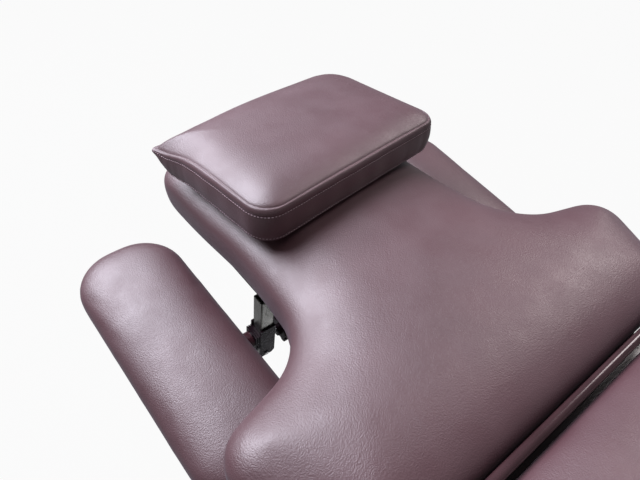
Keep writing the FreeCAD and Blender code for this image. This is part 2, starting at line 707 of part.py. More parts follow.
lift_caps = []
buffers = []
for side in (-1, 1):
    for y in SEAT_SLATS:
        lift_caps.append(end_cap(side * CROSS_HALF, y, RAIL_TOP + SEAT_CROSS_H / 2, way_x(side),
                                 TUBE, SEAT_CROSS_H))
    for y, way in ((RAIL_HEAD_Y, "+y"), (RAIL_FOOT_Y, "-y")):
        lift_caps.append(end_cap(side * RAIL_X, y, RAIL_BASE + RAIL_HEIGHT / 2, way, TUBE, RAIL_HEIGHT))
    for y in (BACK_FOLD + BUFFER_NEAR, RAIL_HEAD_Y - BUFFER_FAR):
        buffers.append(Part.makeCylinder(BUFFER_R, BUFFER_THICK, Vector(side * RAIL_X, y, RAIL_TOP)))
export("lift_frame", lift_frame())
export("lift_end_caps", *lift_caps)
export("rest_buffers", *buffers)


# Hinge pins: headed steel pins, pressed into the fixed plates
def hinge_pins(inner_x, y, z):
    outer_x = inner_x + 2 * HINGE_PLATE + HINGE_GAP + SOFT_GAP
    return [pin(side * inner_x, side * outer_x, y, z) for side in (-1, 1)]


export("back_hinge_pins", *hinge_pins(HINGE_X, BACK_FOLD, BACK_PIN_Z))
export("leg_hinge_pins", *hinge_pins(RAIL_OUTSIDE, LEG_FOLD, LEG_PIN_Z))


# Back frame: ladder of square tube, hinge plates, actuator clevis
def back_frame():
    z = FRAME_BASE
    hinge_in = HINGE_X + HINGE_PLATE + HINGE_GAP
    last_slat = BACK_TUBE_END - TUBE / 2
    parts = clevis(ACTUATOR_X, BACK_CROSS_ACTUATOR, BACK_PIVOT_Z, z)
    for side in (-1, 1):
        x = side * RAIL_X
        outside = side * RAIL_OUTSIDE
        near, far = sorted((side * hinge_in, side * (hinge_in + HINGE_PLATE)))
        parts.append(frame_tube(x, BACK_TUBE_START, x, BACK_TUBE_END, z))
        parts.append(frame_tube(outside, BACK_CROSS_HINGE, side * hinge_in, BACK_CROSS_HINGE, z))
        parts.append(frame_tube(outside, BACK_CROSS_ACTUATOR, side * WING_ARM_HALF, BACK_CROSS_ACTUATOR, z))
        parts.append(eye_plate(near, far, BACK_FOLD, BACK_PIN_Z, EYE_R, PIN_R + PIN_CLEAR,
                               BACK_CROSS_HINGE - TUBE / 2, BACK_CROSS_HINGE + TUBE / 2, z))
        parts.append(block(outside, side * (ARM_TUBE_X - ARM_TUBE / 2), ARM_PIVOT_Y - TUBE,
                           ARM_PIVOT_Y + TUBE, z + ARM_WELD_INSET, BOARD_BASE - ARM_WELD_INSET))
    for y in (BACK_CROSS_HINGE, BACK_CROSS_ACTUATOR, ARM_PIVOT_Y, ARM_PIVOT_Y + BACK_SLAT_STEP, last_slat):
        parts.append(frame_tube(-RAIL_INSIDE, y, RAIL_INSIDE, y, z))
    return fuse(parts)


back_caps = []
for side in (-1, 1):
    mid_z = FRAME_BASE + TUBE / 2
    back_caps.append(end_cap(side * WING_ARM_HALF, BACK_CROSS_ACTUATOR, mid_z, way_x(side), TUBE, TUBE))
    back_caps.append(end_cap(side * RAIL_X, BACK_TUBE_END, mid_z, "+y", TUBE, TUBE))
export("back_frame", back_frame())
export("back_end_caps", *back_caps)


# Leg frame: ladder of square tube hung on two lugs, actuator clevis
def leg_frame():
    z = FRAME_BASE
    inside = LEG_TUBE_X - TUBE / 2
    outside = LEG_TUBE_X + TUBE / 2
    lug_in = RAIL_OUTSIDE + HINGE_PLATE + HINGE_GAP
    parts = clevis(-ACTUATOR_X, LEG_FOLD - LEG_REACH, LEG_PIVOT_Z, z)
    for side in (-1, 1):
        x = side * LEG_TUBE_X
        parts.append(frame_tube(x, LEG_TUBE_START, x, LEG_TUBE_END, z))
        parts.append(leg_lug(side, lug_in, PIN_R + PIN_CLEAR, LEG_FOLD - LUG_REACH))
        for y in LEG_SLATS:
            parts.append(frame_tube(side * outside, y, side * CROSS_HALF, y, z))
    for y in LEG_SLATS + (LEG_TUBE_END + TUBE / 2,):
        parts.append(frame_tube(-inside, y, inside, y, z))
    return fuse(parts)


leg_caps = []
for side in (-1, 1):
    mid_z = FRAME_BASE + TUBE / 2
    for y in LEG_SLATS:
        leg_caps.append(end_cap(side * CROSS_HALF, y, mid_z, way_x(side), TUBE, TUBE))
    leg_caps.append(end_cap(side * LEG_TUBE_X, LEG_TUBE_END, mid_z, "-y", TUBE, TUBE))
export("leg_frame", leg_frame())
export("leg_end_caps", *leg_caps)


# Linear actuators: housing with spindle tube, motor pod, and a slotted rod
def chord(reach, drop, turn_degrees):
    """Distance between the two pivots once the section has turned."""
    radius = math.hypot(reach, drop)
    half = math.atan2(reach, drop) + math.radians(turn_degrees) / 2
    return 2 * radius * math.sin(half)


def actuator(name, x, base_y, rod_y, z, slot, drawn_in):
    """drawn_in is how far the rod still has to go back into its housing."""
    way = math.copysign(1, rod_y - base_y)
    length = abs(rod_y - base_y)
    tube_end = length - drawn_in - SLEEVE_SHORT
    tang_r = PIVOT_EYE - TANG_RIM

    def at(along, up=0.0, across=0.0):
        return Vector(x + across, base_y + way * along, z + up)

    def flat(from_along, to_along, half_x, half_z):
        return block(x - half_x, x + half_x, base_y + way * from_along, base_y + way * to_along,
                     z - half_z, z + half_z)

    def cross_hole(radius, along, half_x):
        return cylinder(radius, at(along, 0, -half_x), at(along, 0, half_x))

    body = fuse([
        flat(0, TANG_LENGTH, TANG / 2, tang_r),
        cross_hole(tang_r, 0, TANG / 2),
        cylinder(ACTUATOR_R, at(TANG_LENGTH), at(HOUSING_END)),
        cylinder(ROD_R + SLEEVE_WALL, at(HOUSING_END), at(tube_end)),
    ])
    body = body.cut(cylinder(ROD_R + PIN_CLEAR, at(BORE_START), at(tube_end + PAST)))
    export(name + "_actuator_body", body.cut(cross_hole(PIN_R + PIN_CLEAR, 0, TANG)))

    motor_down = -ACTUATOR_R - MOTOR_DROP
    neck = cylinder(MOTOR_NECK_R, at(MOTOR_NECK_AT), at(MOTOR_NECK_AT, motor_down))
    motor = cylinder(MOTOR_R, at(MOTOR_START, motor_down), at(MOTOR_END, motor_down))
    cover = block(x - MOTOR_R, x + MOTOR_R, base_y + way * MOTOR_COVER_START, base_y + way * MOTOR_COVER_END,
                  z - ACTUATOR_R - MOTOR_COVER_BASE, z - ACTUATOR_R - MOTOR_COVER_TOP)
    pod = fuse([neck, motor, cover]).cut(cylinder(ACTUATOR_R, at(0), at(length)))
    export(name + "_actuator_motor", pod)

    slot_r = PIN_R + PIN_CLEAR
    rod = fuse([
        cylinder(ROD_R, at(ROD_START + drawn_in), at(length - TANG_LENGTH)),
        flat(length - TANG_LENGTH - ROD_OVERLAP, length + slot, TANG / 2, tang_r),
        cross_hole(tang_r, length + slot, TANG / 2),
    ])
    slot_cut = fuse([
        cross_hole(slot_r, length, TANG),
        cross_hole(slot_r, length + slot, TANG),
        flat(length, length + slot, TANG, slot_r),
    ])
    export(name + "_actuator_rod", rod.cut(slot_cut))


LEG_STROKE = 2 * LEG_REACH - chord(LEG_REACH, LEG_DROP, -LEG_TURN)
actuator("back", ACTUATOR_X, BACK_FOLD - BACK_REACH, BACK_FOLD + BACK_REACH, BACK_PIVOT_Z, BACK_SLOT, 0)
actuator("leg", -ACTUATOR_X, LEG_FOLD + LEG_REACH, LEG_FOLD - LEG_REACH, LEG_PIVOT_Z, LEG_SLOT, LEG_STROKE)


def actuator_pin(x, y, z):
    half = TANG / 2 + CLEVIS_GAP + CLEVIS_PLATE
    return pin(x - half, x + half, y, z)


export("actuator_base_pins",
       actuator_pin(ACTUATOR_X, BACK_FOLD - BACK_REACH, BACK_PIVOT_Z),
       actuator_pin(-ACTUATOR_X, LEG_FOLD + LEG_REACH, LEG_PIVOT_Z))
export("back_actuator_pin", actuator_pin(ACTUATOR_X, BACK_FOLD + BACK_REACH, BACK_PIVOT_Z))
export("leg_actuator_pin", actuator_pin(-ACTUATOR_X, LEG_FOLD - LEG_REACH, LEG_PIVOT_Z))


# Control box on the near rail, with three sprung rockers and a sealed cable gland
def rocker_y(place):
    return BOX_Y + BOX_LONG / 2 + place * ROCKER_PITCH


def control_box():
    middle_z = BOX_BASE + BOX_HIGH / 2
    shell = block(BOX_FACE, BOX_OUT, BOX_Y, BOX_Y + BOX_LONG, BOX_BASE, BOX_BASE + BOX_HIGH)
    outer_edges = [edge for edge in shell.Edges if edge.BoundBox.XMax < BOX_OUT + 0.01]
    shell = shell.makeFillet(BOX_ROUND, outer_edges)
    for place in (-1, 0, 1):
        y = rocker_y(place)
        shell = shell.cut(block(BOX_OUT, BOX_OUT + ROCKER_WELL, y - ROCKER_LONG / 2, y + ROCKER_LONG / 2,
                                middle_z - ROCKER_HIGH / 2, middle_z + ROCKER_HIGH / 2))
    return shell


def rocker(place):
    """Rocker cap: a shallow V on the outside, a keel that turns inside the well."""
    y = rocker_y(place)
    long = ROCKER_LONG / 2 - ROCKER_GAP_Y
    high = ROCKER_HIGH - 2 * ROCKER_GAP_Z
    face_x = BOX_OUT - ROCKER_RIDGE
    pivot_x = BOX_OUT + ROCKER_PIVOT
    back_x = pivot_x - ROCKER_RIDGE
    keel_x = pivot_x + ROCKER_RIDGE
    keel = long / 3
    points = [(face_x, -long), (face_x + ROCKER_RIDGE, 0), (face_x, long), (back_x, long),
              (keel_x, keel), (keel_x, -keel), (back_x, -long), (face_x, -long)]
    base_z = BOX_BASE + (BOX_HIGH - high) / 2
    outline = Part.makePolygon([Vector(px, y + py, base_z) for px, py in points])
    return Part.Face(outline).extrude(Vector(0, 0, high))


def cable_gland():
    x = BOX_FACE - BOX_DEEP / 2
    z = BOX_BASE + BOX_HIGH / 2
    down = Vector(0, -1, 0)
    ring = Part.makeCylinder(GLAND_R, GLAND_RING, Vector(x, BOX_Y, z), down)
    cone_start = Vector(x, BOX_Y - GLAND_RING, z)
    cone = Part.makeCone(GLAND_R - GLAND_STEP, GLAND_MOUTH, GLAND_CONE, cone_start, down)
    return fuse([ring, cone])


export("control_box", control_box())
export("cable_gland", cable_gland())
for place, use in ((-1, "lift"), (0, "back"), (1, "leg")):
    export("rocker_" + use, rocker(place))


# Armrests: leaning square tube, clamp sleeve, moulded hub, board, pad and knob
def turned_on_pivot(shape, degrees):
    shape.rotate(Vector(0, ARM_PIVOT_Y, ARM_PIVOT_Z), Vector(1, 0, 0), degrees)
    return shape


def arm_tube():
    """Square tube leaned about the pivot, its top cut level under the board."""
    foot = Vector(ARM_TUBE_X, ARM_PIVOT_Y, ARM_PIVOT_Z - ARM_TUBE_DOWN)
    top = Vector(ARM_TUBE_X, ARM_PIVOT_Y, BOARD_BASE + ARM_TUBE)
    leaned = turned_on_pivot(tube(foot, top, ARM_TUBE, ARM_TUBE, ARM_TUBE_WALL, ARM_TUBE_ROUND), ARM_LEAN)
    above = block(ARM_TUBE_X - ARM_TUBE, ARM_TUBE_X + ARM_TUBE, BACK_FOLD, HEAD_Y, BOARD_BASE, BED_TOP)
    return leaned.cut(above)


def arm_block():
    """Sleeve round the tube, open outboard above and below the ridged collar for the hub."""
    x, y, z = ARM_TUBE_X, ARM_PIVOT_Y, ARM_PIVOT_Z
    inner_x, outer_x = x - BLOCK_X / 2, x + BLOCK_X / 2
    low, high = z - BLOCK_DOWN, z + BLOCK_UP
    body = block(inner_x, outer_x, y - BLOCK_Y / 2, y + BLOCK_Y / 2, low, high)
    corner = [edge for edge in body.Edges
              if edge.BoundBox.XMax < inner_x + 0.01 and edge.BoundBox.ZMax < low + 0.01]
    body = body.makeChamfer(CHAMFER, corner)
    half = ARM_TUBE / 2 + SLIDE_CLEAR
    body = body.cut(block(x - half, x + half, y - half, y + half, low - PAST, high + PAST))
    for z0, z1 in ((z + COLLAR_UP, high + PAST), (low - PAST, z - WINDOW_DOWN)):
        body = body.cut(block(x, outer_x + PAST, y - half, y + half, z0, z1))
    parts = [body, cylinder(STUD_BOSS_R, Vector(inner_x - STUD_BOSS, y, STUD_Z), Vector(inner_x, y, STUD_Z))]
    core_y, core_z = COLLAR_HALF - RIDGE_DEEP, COLLAR_UP - RIDGE_DEEP
    parts.append(block(outer_x, HUB_START, y - core_y, y + core_y, z - core_z, z + core_z))
    for k in range(RIDGES):
        ridge = outer_x + k * RIDGE_PITCH
        parts.append(block(ridge, ridge + RIDGE_WIDE, y - COLLAR_HALF, y + COLLAR_HALF,
                           z - COLLAR_UP, z + COLLAR_UP))
    bore = cylinder(SPIGOT_R + PIN_CLEAR, Vector(HUB_START - SPIGOT, y, z), Vector(HUB_START + PAST, y, z))
    thread = cylinder(STUD_R + PIN_CLEAR, Vector(inner_x - STUD_BOSS - PAST, y, STUD_Z), Vector(x, y, STUD_Z))
    return fuse(parts).cut(bore).cut(thread)


def arm_hub():
    """Moulded hub: spigot in the collar, barrel, and a ribbed foot under the board."""
    y, z = ARM_PIVOT_Y, ARM_PIVOT_Z
    start = HUB_START + SLIDE_CLEAR
    foot_top = z + PAD_BASE_UP - ARM_BOARD_THICK
    foot_base = foot_top - HUB_FOOT_THICK
    foot = block(start + HUB_FOOT_START, HUB_END_X + HUB_FOOT_PAST, y - HUB_FOOT_HALF, y + HUB_FOOT_HALF,
                 foot_base, foot_top)
    upright = [edge for edge in foot.Edges if edge.BoundBox.ZLength > HUB_FOOT_THICK / 2]
    parts = [
        cylinder(SPIGOT_R, Vector(start - SPIGOT, y, z), Vector(start, y, z)),
        cylinder(HUB_R, Vector(start, y, z), Vector(HUB_END_X, y, z)),
        foot.makeFillet(HUB_FOOT_ROUND, upright),
    ]
    first_rib = start + HUB_FOOT_START + RIB_DROP
    last_rib = HUB_END_X - RIB_THICK
    for x in (first_rib, (first_rib + last_rib) / 2, last_rib):
        points = [(RIB_HALF, foot_base), (-RIB_HALF, foot_base), (-RIB_ROOT, z - RIB_DROP),
                  (RIB_ROOT, z - RIB_DROP), (RIB_HALF, foot_base)]
        rib = Part.Face(Part.makePolygon([Vector(x, y + across, up) for across, up in points]))
        parts.append(rib.extrude(Vector(RIB_THICK, 0, 0)))
    return fuse(parts)


def place_pad(shape):
    shape.rotate(Vector(0, 0, 0), Vector(0, 0, 1), -PAD_YAW)
    shape.translate(Vector(PAD_X, ARM_PIVOT_Y + PAD_Y, ARM_PIVOT_Z + PAD_BASE_UP))
    return shape


def arm_pad():
    outline = rectangle(PAD_HALF_WIDTH, PAD_HALF_LENGTH, PAD_CORNER)
    return place_pad(rolled(slab(outline, 0, PAD_THICK), PAD_ROUND, (0, PAD_THICK)))


def arm_board():
    outline = rectangle(PAD_HALF_WIDTH, PAD_HALF_LENGTH, PAD_CORNER)
    return place_pad(slab(outline, -ARM_BOARD_THICK, 0, ARM_BOARD_INSET))


def arm_knob():
    """Lobed clamp knob with a stepped hub, on the inboard end of its stud."""
    y, z = ARM_PIVOT_Y, STUD_Z
    near = ARM_TUBE_X - BLOCK_X / 2 - KNOB_STAND
    far = near - KNOB_WIDTH
    lobe_ring = KNOB_R - KNOB_LOBE_R
    parts = [
        cylinder(lobe_ring, Vector(far, y, z), Vector(near, y, z)),
        cylinder(KNOB_HUB_R, Vector(near, y, z), Vector(near + KNOB_HUB, y, z)),
    ]
    for k in range(KNOB_LOBES):
        angle = math.radians(360 / KNOB_LOBES * k + 90)
        lobe_y = y + lobe_ring * math.cos(angle)
        lobe_z = z + lobe_ring * math.sin(angle)
        parts.append(cylinder(KNOB_LOBE_R, Vector(far + KNOB_LOBE_THIN / 2, lobe_y, lobe_z),
                              Vector(near - KNOB_LOBE_THIN / 2, lobe_y, lobe_z)))
    hole = cylinder(STUD_R, Vector(far - PAST, y, z), Vector(near + KNOB_HUB + PAST, y, z))
    return fuse(parts).cut(hole)


def arm_stud():
    y, z = ARM_PIVOT_Y, STUD_Z
    inner = ARM_TUBE_X - ARM_TUBE / 2 - SLIDE_CLEAR
    outer = ARM_TUBE_X - BLOCK_X / 2 - KNOB_STAND - KNOB_WIDTH - STUD_PAST
    shank = cylinder(STUD_R, Vector(outer, y, z), Vector(inner, y, z))
    return fuse([shank, Part.makeSphere(STUD_R, Vector(outer, y, z))])


for side_name, flip in (("right", False), ("left", True)):
    pieces = {
        "arm_tube_": arm_tube(),
        "arm_block_": turned_on_pivot(arm_block(), ARM_LEAN),
        "arm_hub_": turned_on_pivot(arm_hub(), PAD_PITCH),
        "arm_board_": turned_on_pivot(arm_board(), PAD_PITCH),
        "arm_pad_": turned_on_pivot(arm_pad(), PAD_PITCH),
        "arm_knob_": turned_on_pivot(arm_knob(), ARM_LEAN),
        "arm_stud_": turned_on_pivot(arm_stud(), ARM_LEAN),
    }
    for piece_name, shape in pieces.items():
        export(piece_name + side_name, mirror_x(shape) if flip else shape)
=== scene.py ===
import json
import math
import bmesh
import bpy
import numpy as np
from mathutils import Matrix, Vector
from mathutils.kdtree import KDTree

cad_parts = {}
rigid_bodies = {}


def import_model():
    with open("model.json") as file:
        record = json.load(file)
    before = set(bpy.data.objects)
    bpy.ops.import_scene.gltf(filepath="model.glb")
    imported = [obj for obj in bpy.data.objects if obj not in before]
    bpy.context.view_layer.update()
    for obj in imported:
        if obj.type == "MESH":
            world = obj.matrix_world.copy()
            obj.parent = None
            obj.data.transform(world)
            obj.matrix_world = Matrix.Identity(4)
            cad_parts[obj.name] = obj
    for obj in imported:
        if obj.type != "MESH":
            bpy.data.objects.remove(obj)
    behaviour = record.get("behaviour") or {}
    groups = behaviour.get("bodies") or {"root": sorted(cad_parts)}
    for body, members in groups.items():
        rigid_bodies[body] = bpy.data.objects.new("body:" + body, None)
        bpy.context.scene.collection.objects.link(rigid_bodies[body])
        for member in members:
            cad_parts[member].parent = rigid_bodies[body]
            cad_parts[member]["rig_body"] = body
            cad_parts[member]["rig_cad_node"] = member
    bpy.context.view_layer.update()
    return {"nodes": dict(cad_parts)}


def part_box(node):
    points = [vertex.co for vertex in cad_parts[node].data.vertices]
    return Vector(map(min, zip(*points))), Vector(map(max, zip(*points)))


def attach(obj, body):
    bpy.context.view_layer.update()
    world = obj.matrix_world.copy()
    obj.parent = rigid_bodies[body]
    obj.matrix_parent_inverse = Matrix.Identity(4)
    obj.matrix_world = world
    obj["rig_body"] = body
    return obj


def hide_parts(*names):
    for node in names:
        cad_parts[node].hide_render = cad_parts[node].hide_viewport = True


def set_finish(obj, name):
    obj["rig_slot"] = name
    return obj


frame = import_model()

nodes = frame["nodes"]


# Camera: above the near shoulder wing, looking down across the back cushion towards the
# far side of its head end.
CAMERA_PLACE = (-0.38025, 0.22740, 1.05638)
CAMERA_TURN = (48.493, -1.4875, -37.478)
CAMERA_LENS = 27.236
CAMERA_SENSOR = 36

bpy.ops.object.select_all(action="DESELECT")
bpy.ops.object.camera_add(location=CAMERA_PLACE, rotation=[math.radians(turn) for turn in CAMERA_TURN])
camera = bpy.context.object
camera.data.lens = CAMERA_LENS
camera.data.sensor_width = CAMERA_SENSOR
bpy.context.scene.camera = camera
bpy.context.scene.view_settings.view_transform = "Standard"


# Studio: a pale floor that runs out to nothing, one large soft lamp high beyond the head
# end, a smaller one on the bed's far side and an even pale room.
WHITE = (1, 1, 1, 1)
FLOOR_SIZE = 14
FLOOR_SHADE = (0.09, 0.09, 0.09, 1)
FLOOR_ROUGHNESS = 0.9
FLOOR_GLOW = 0.95
FLOOR_GLOSS_SHARE = 0.12
ROOM_COLOUR = (0.95, 0.96, 1.0, 1)
ROOM_LIGHT = 0.23
KEY_PLACE = (-0.75, 2.35, 3.0)
KEY_SIZE = 3.2
KEY_POWER = 274
KEY_COLOUR = (0.89, 0.89, 1.0)
SIDE_PLACE = (2.6, 0.54, 2.67)
SIDE_SIZE = 1.1
SIDE_POWER = 34
SIDE_COLOUR = (1.0, 0.92, 0.92)
LAMP_AIM = Vector((0.0, 0.55, 0.6))

bpy.ops.mesh.primitive_plane_add(size=FLOOR_SIZE, location=(0, 0, 0))
floor = bpy.context.object
floor.name = "floor"
paper = bpy.data.materials.new("floor_paper")
paper.use_nodes = True
paper_nodes = paper.node_tree.nodes
paper_links = paper.node_tree.links
paper_shader = paper_nodes["Principled BSDF"]
paper_shader.inputs["Base Color"].default_value = FLOOR_SHADE
paper_shader.inputs["Roughness"].default_value = FLOOR_ROUGHNESS
paper_glow = paper_nodes.new("ShaderNodeEmission")
paper_glow.inputs["Color"].default_value = WHITE
paper_glow.inputs["Strength"].default_value = 1.0
paper_path = paper_nodes.new("ShaderNodeLightPath")
paper_seen = paper_nodes.new("ShaderNodeMath")
paper_seen.operation = "MULTIPLY_ADD"
paper_seen.inputs[1].default_value = FLOOR_GLOSS_SHARE
paper_share = paper_nodes.new("ShaderNodeMath")
paper_share.operation = "MULTIPLY"
paper_share.inputs[1].default_value = FLOOR_GLOW
paper_mix = paper_nodes.new("ShaderNodeMixShader")
paper_links.new(paper_path.outputs["Is Glossy Ray"], paper_seen.inputs[0])
paper_links.new(paper_path.outputs["Is Camera Ray"], paper_seen.inputs[2])
paper_links.new(paper_seen.outputs[0], paper_share.inputs[0])
paper_links.new(paper_share.outputs[0], paper_mix.inputs["Fac"])
paper_links.new(paper_shader.outputs[0], paper_mix.inputs[1])
paper_links.new(paper_glow.outputs[0], paper_mix.inputs[2])
paper_links.new(paper_mix.outputs[0], paper_nodes["Material Output"].inputs["Surface"])
floor.data.materials.append(paper)

room = bpy.data.worlds.new("room")
bpy.context.scene.world = room
room.use_nodes = True
room_nodes = room.node_tree.nodes
room_links = room.node_tree.links
room_light = room_nodes["Background"]
room_light.inputs["Color"].default_value = ROOM_COLOUR
room_light.inputs["Strength"].default_value = ROOM_LIGHT
room_white = room_nodes.new("ShaderNodeBackground")
room_white.inputs["Color"].default_value = WHITE
room_path = room_nodes.new("ShaderNodeLightPath")
room_mix = room_nodes.new("ShaderNodeMixShader")
room_links.new(room_path.outputs["Is Camera Ray"], room_mix.inputs["Fac"])
room_links.new(room_light.outputs[0], room_mix.inputs[1])
room_links.new(room_white.outputs[0], room_mix.inputs[2])
room_links.new(room_mix.outputs[0], room_nodes["World Output"].inputs["Surface"])


def studio_lamp(name, place, size, power, colour):
    """Round soft lamp that looks at the middle of the bed's upper half."""
    aim = (LAMP_AIM - Vector(place)).to_track_quat("-Z", "Y").to_euler()
    bpy.ops.object.light_add(type="AREA", location=place, rotation=aim)
    lamp = bpy.context.object
    lamp.name = name
    lamp.data.shape = "DISK"
    lamp.data.size = size
    lamp.data.energy = power
    lamp.data.color = colour


studio_lamp("key_lamp", KEY_PLACE, KEY_SIZE, KEY_POWER, KEY_COLOUR)
studio_lamp("side_lamp", SIDE_PLACE, SIDE_SIZE, SIDE_POWER, SIDE_COLOUR)


# Welded steel: the base, the lift frame and the frames under the back and the legs are
# square tube, powder coated in a light grey with a fine orange-peel skin.
def new_finish(name, colour, roughness, metallic=0.0):
    """Material with one principled shader and the object's own coordinates."""
    finish = bpy.data.materials.new(name)
    finish.use_nodes = True
    shader = finish.node_tree.nodes["Principled BSDF"]
    shader.inputs["Base Color"].default_value = (*colour, 1)
    shader.inputs["Roughness"].default_value = roughness
    shader.inputs["Metallic"].default_value = metallic
    return finish


def noise_of(finish, scale, detail=3.0, stretch=(1, 1, 1)):
    """Noise over the object, finer the higher the scale; stretch narrows it along an axis."""
    tree = finish.node_tree
    place = tree.nodes.new("ShaderNodeTexCoord")
    turn = tree.nodes.new("ShaderNodeMapping")
    turn.inputs["Scale"].default_value = stretch
    noise = tree.nodes.new("ShaderNodeTexNoise")
    noise.inputs["Scale"].default_value = scale
    noise.inputs["Detail"].default_value = detail
    tree.links.new(place.outputs["Object"], turn.inputs["Vector"])
    tree.links.new(turn.outputs["Vector"], noise.inputs["Vector"])
    return noise.outputs["Fac"]


def colour_between(finish, fac, low, high, near=0.35, far=0.65):
    """Let a pattern run the colour from low to high."""
    tree = finish.node_tree
    ramp = tree.nodes.new("ShaderNodeValToRGB")
    ramp.color_ramp.elements[0].position = near
    ramp.color_ramp.elements[0].color = (*low, 1)
    ramp.color_ramp.elements[1].position = far
    ramp.color_ramp.elements[1].color = (*high, 1)
    tree.links.new(fac, ramp.inputs["Fac"])
    tree.links.new(ramp.outputs["Color"], tree.nodes["Principled BSDF"].inputs["Base Color"])


def roughness_between(finish, fac, low, high, near=0.35, far=0.65):
    """Let a pattern run the roughness from low to high."""
    tree = finish.node_tree
    span = tree.nodes.new("ShaderNodeMapRange")
    span.inputs["From Min"].default_value = near
    span.inputs["From Max"].default_value = far
    span.inputs["To Min"].default_value = low
    span.inputs["To Max"].default_value = high
    tree.links.new(fac, span.inputs["Value"])
    tree.links.new(span.outputs["Result"], tree.nodes["Principled BSDF"].inputs["Roughness"])


def relief(finish, height, strength, depth):
    """Raise the skin by a pattern, on top of any relief that is there already."""
    tree = finish.node_tree
    shader = tree.nodes["Principled BSDF"]
    bump = tree.nodes.new("ShaderNodeBump")
    bump.inputs["Strength"].default_value = strength
    bump.inputs["Distance"].default_value = depth
    tree.links.new(height, bump.inputs["Height"])
    under = shader.inputs["Normal"]
    if under.is_linked:
        tree.links.new(under.links[0].from_socket, bump.inputs["Normal"])
    tree.links.new(bump.outputs["Normal"], under)


def dress(finish, slot, *names):
    """Give CAD nodes their finish and the record's slot."""
    for name in names:
        node = nodes[name]
        node.data.materials.clear()
        node.data.materials.append(finish)
        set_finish(node, slot)


coat = new_finish("powder_coat", colour=(0.78, 0.78, 0.76), roughness=0.36)
colour_between(coat, noise_of(coat, scale=9, detail=4), low=(0.74, 0.74, 0.72), high=(0.82, 0.82, 0.80))
roughness_between(coat, noise_of(coat, scale=40, detail=5), low=0.30, high=0.44)
relief(coat, noise_of(coat, scale=520, detail=2), strength=0.25, depth=0.0004)
dress(coat, "frame_paint", "base_frame", "lift_frame", "back_frame", "leg_frame")


# Lifting columns: anodised aluminium profiles drawn lengthwise, three to a column, that
# slide in each other behind a black collar.
anodised = new_finish("anodised_profile", colour=(0.70, 0.71, 0.73), roughness=0.32, metallic=1.0)
draw_lines = noise_of(anodised, scale=60, detail=2, stretch=(14, 14, 0.15))
roughness_between(anodised, draw_lines, low=0.26, high=0.42)
colour_between(anodised, noise_of(anodised, scale=12), low=(0.66, 0.67, 0.69), high=(0.74, 0.75, 0.77))
relief(anodised, draw_lines, strength=0.12, depth=0.0003)
dress(anodised, "column_alloy", "column_outer_head", "column_outer_foot", "column_mid_head",
      "column_mid_foot", "column_inner_head", "column_inner_foot")


# Bright steel: hinge pins, pivot pins, base bolts and the studs of the knobs are zinc
# plated and turned.
zinc = new_finish("zinc_plate", colour=(0.63, 0.63, 0.62), roughness=0.3, metallic=1.0)
roughness_between(zinc, noise_of(zinc, scale=180), low=0.22, high=0.42)
colour_between(zinc, noise_of(zinc, scale=70), low=(0.56, 0.56, 0.57), high=(0.70, 0.70, 0.68))
relief(zinc, noise_of(zinc, scale=900, detail=1), strength=0.1, depth=0.0002)
dress(zinc, "steel", "column_bolts", "back_hinge_pins", "leg_hinge_pins", "actuator_base_pins",
      "back_actuator_pin", "leg_actuator_pin", "arm_stud_left", "arm_stud_right")


# Actuators: a grey ribbed housing with a black motor pod, and a polished rod that runs
# out to the pin under the section it lifts. The control box is moulded in the same grey.
housing = new_finish("housing_grey", colour=(0.31, 0.32, 0.33), roughness=0.5)
housing_cloud = noise_of(housing, scale=30, detail=4)
colour_between(housing, housing_cloud, low=(0.28, 0.29, 0.30), high=(0.34, 0.35, 0.36))
roughness_between(housing, noise_of(housing, scale=90, detail=2), low=0.44, high=0.58)
relief(housing, noise_of(housing, scale=1400, detail=1), strength=0.2, depth=0.0003)
dress(housing, "grey_plastic", "back_actuator_body", "leg_actuator_body", "control_box")

polish = new_finish("polished_chrome", colour=(0.80, 0.81, 0.81), roughness=0.08, metallic=1.0)
roughness_between(polish, noise_of(polish, scale=70, detail=4), low=0.05, high=0.14)
polish_cloud = noise_of(polish, scale=25, detail=2)
colour_between(polish, polish_cloud, low=(0.77, 0.79, 0.78), high=(0.84, 0.84, 0.83))
dress(polish, "chrome", "back_actuator_rod", "leg_actuator_rod")


# Black mouldings and rubber: end caps, column collars, motor pods, rockers and the lead's
# gland have a fine spark-eroded skin; the feet and the rest buffers are moulded rubber.
moulding = new_finish("black_moulding", colour=(0.02, 0.02, 0.022), roughness=0.42)
moulding_cloud = noise_of(moulding, scale=35, detail=4)
colour_between(moulding, moulding_cloud, low=(0.016, 0.016, 0.018), high=(0.028, 0.028, 0.030))
roughness_between(moulding, noise_of(moulding, scale=120), low=0.34, high=0.52)
relief(moulding, noise_of(moulding, scale=1600, detail=1), strength=0.25, depth=0.0003)
dress(moulding, "black_plastic", "base_end_caps", "lift_end_caps", "back_end_caps", "leg_end_caps",
      "column_collars", "back_actuator_motor", "leg_actuator_motor", "cable_gland", "rocker_lift",
      "rocker_back", "rocker_leg")

rubber = new_finish("foot_rubber", colour=(0.025, 0.025, 0.025), roughness=0.8)
rubber_cloud = noise_of(rubber, scale=50, detail=4)
colour_between(rubber, rubber_cloud, low=(0.02, 0.02, 0.02), high=(0.04, 0.038, 0.036))
relief(rubber, noise_of(rubber, scale=800, detail=2), strength=0.3, depth=0.0004)
dress(rubber, "rubber", "base_feet", "rest_buffers")


# Boards: birch plywood under the foam, closed from below with a thin dark lining cloth
# whose weave shows close by.
THREAD_SCALE = 700
THREAD_RELIEF = 0.4
THREAD_DEPTH = 0.0005
LINING_SHINE = 0.12

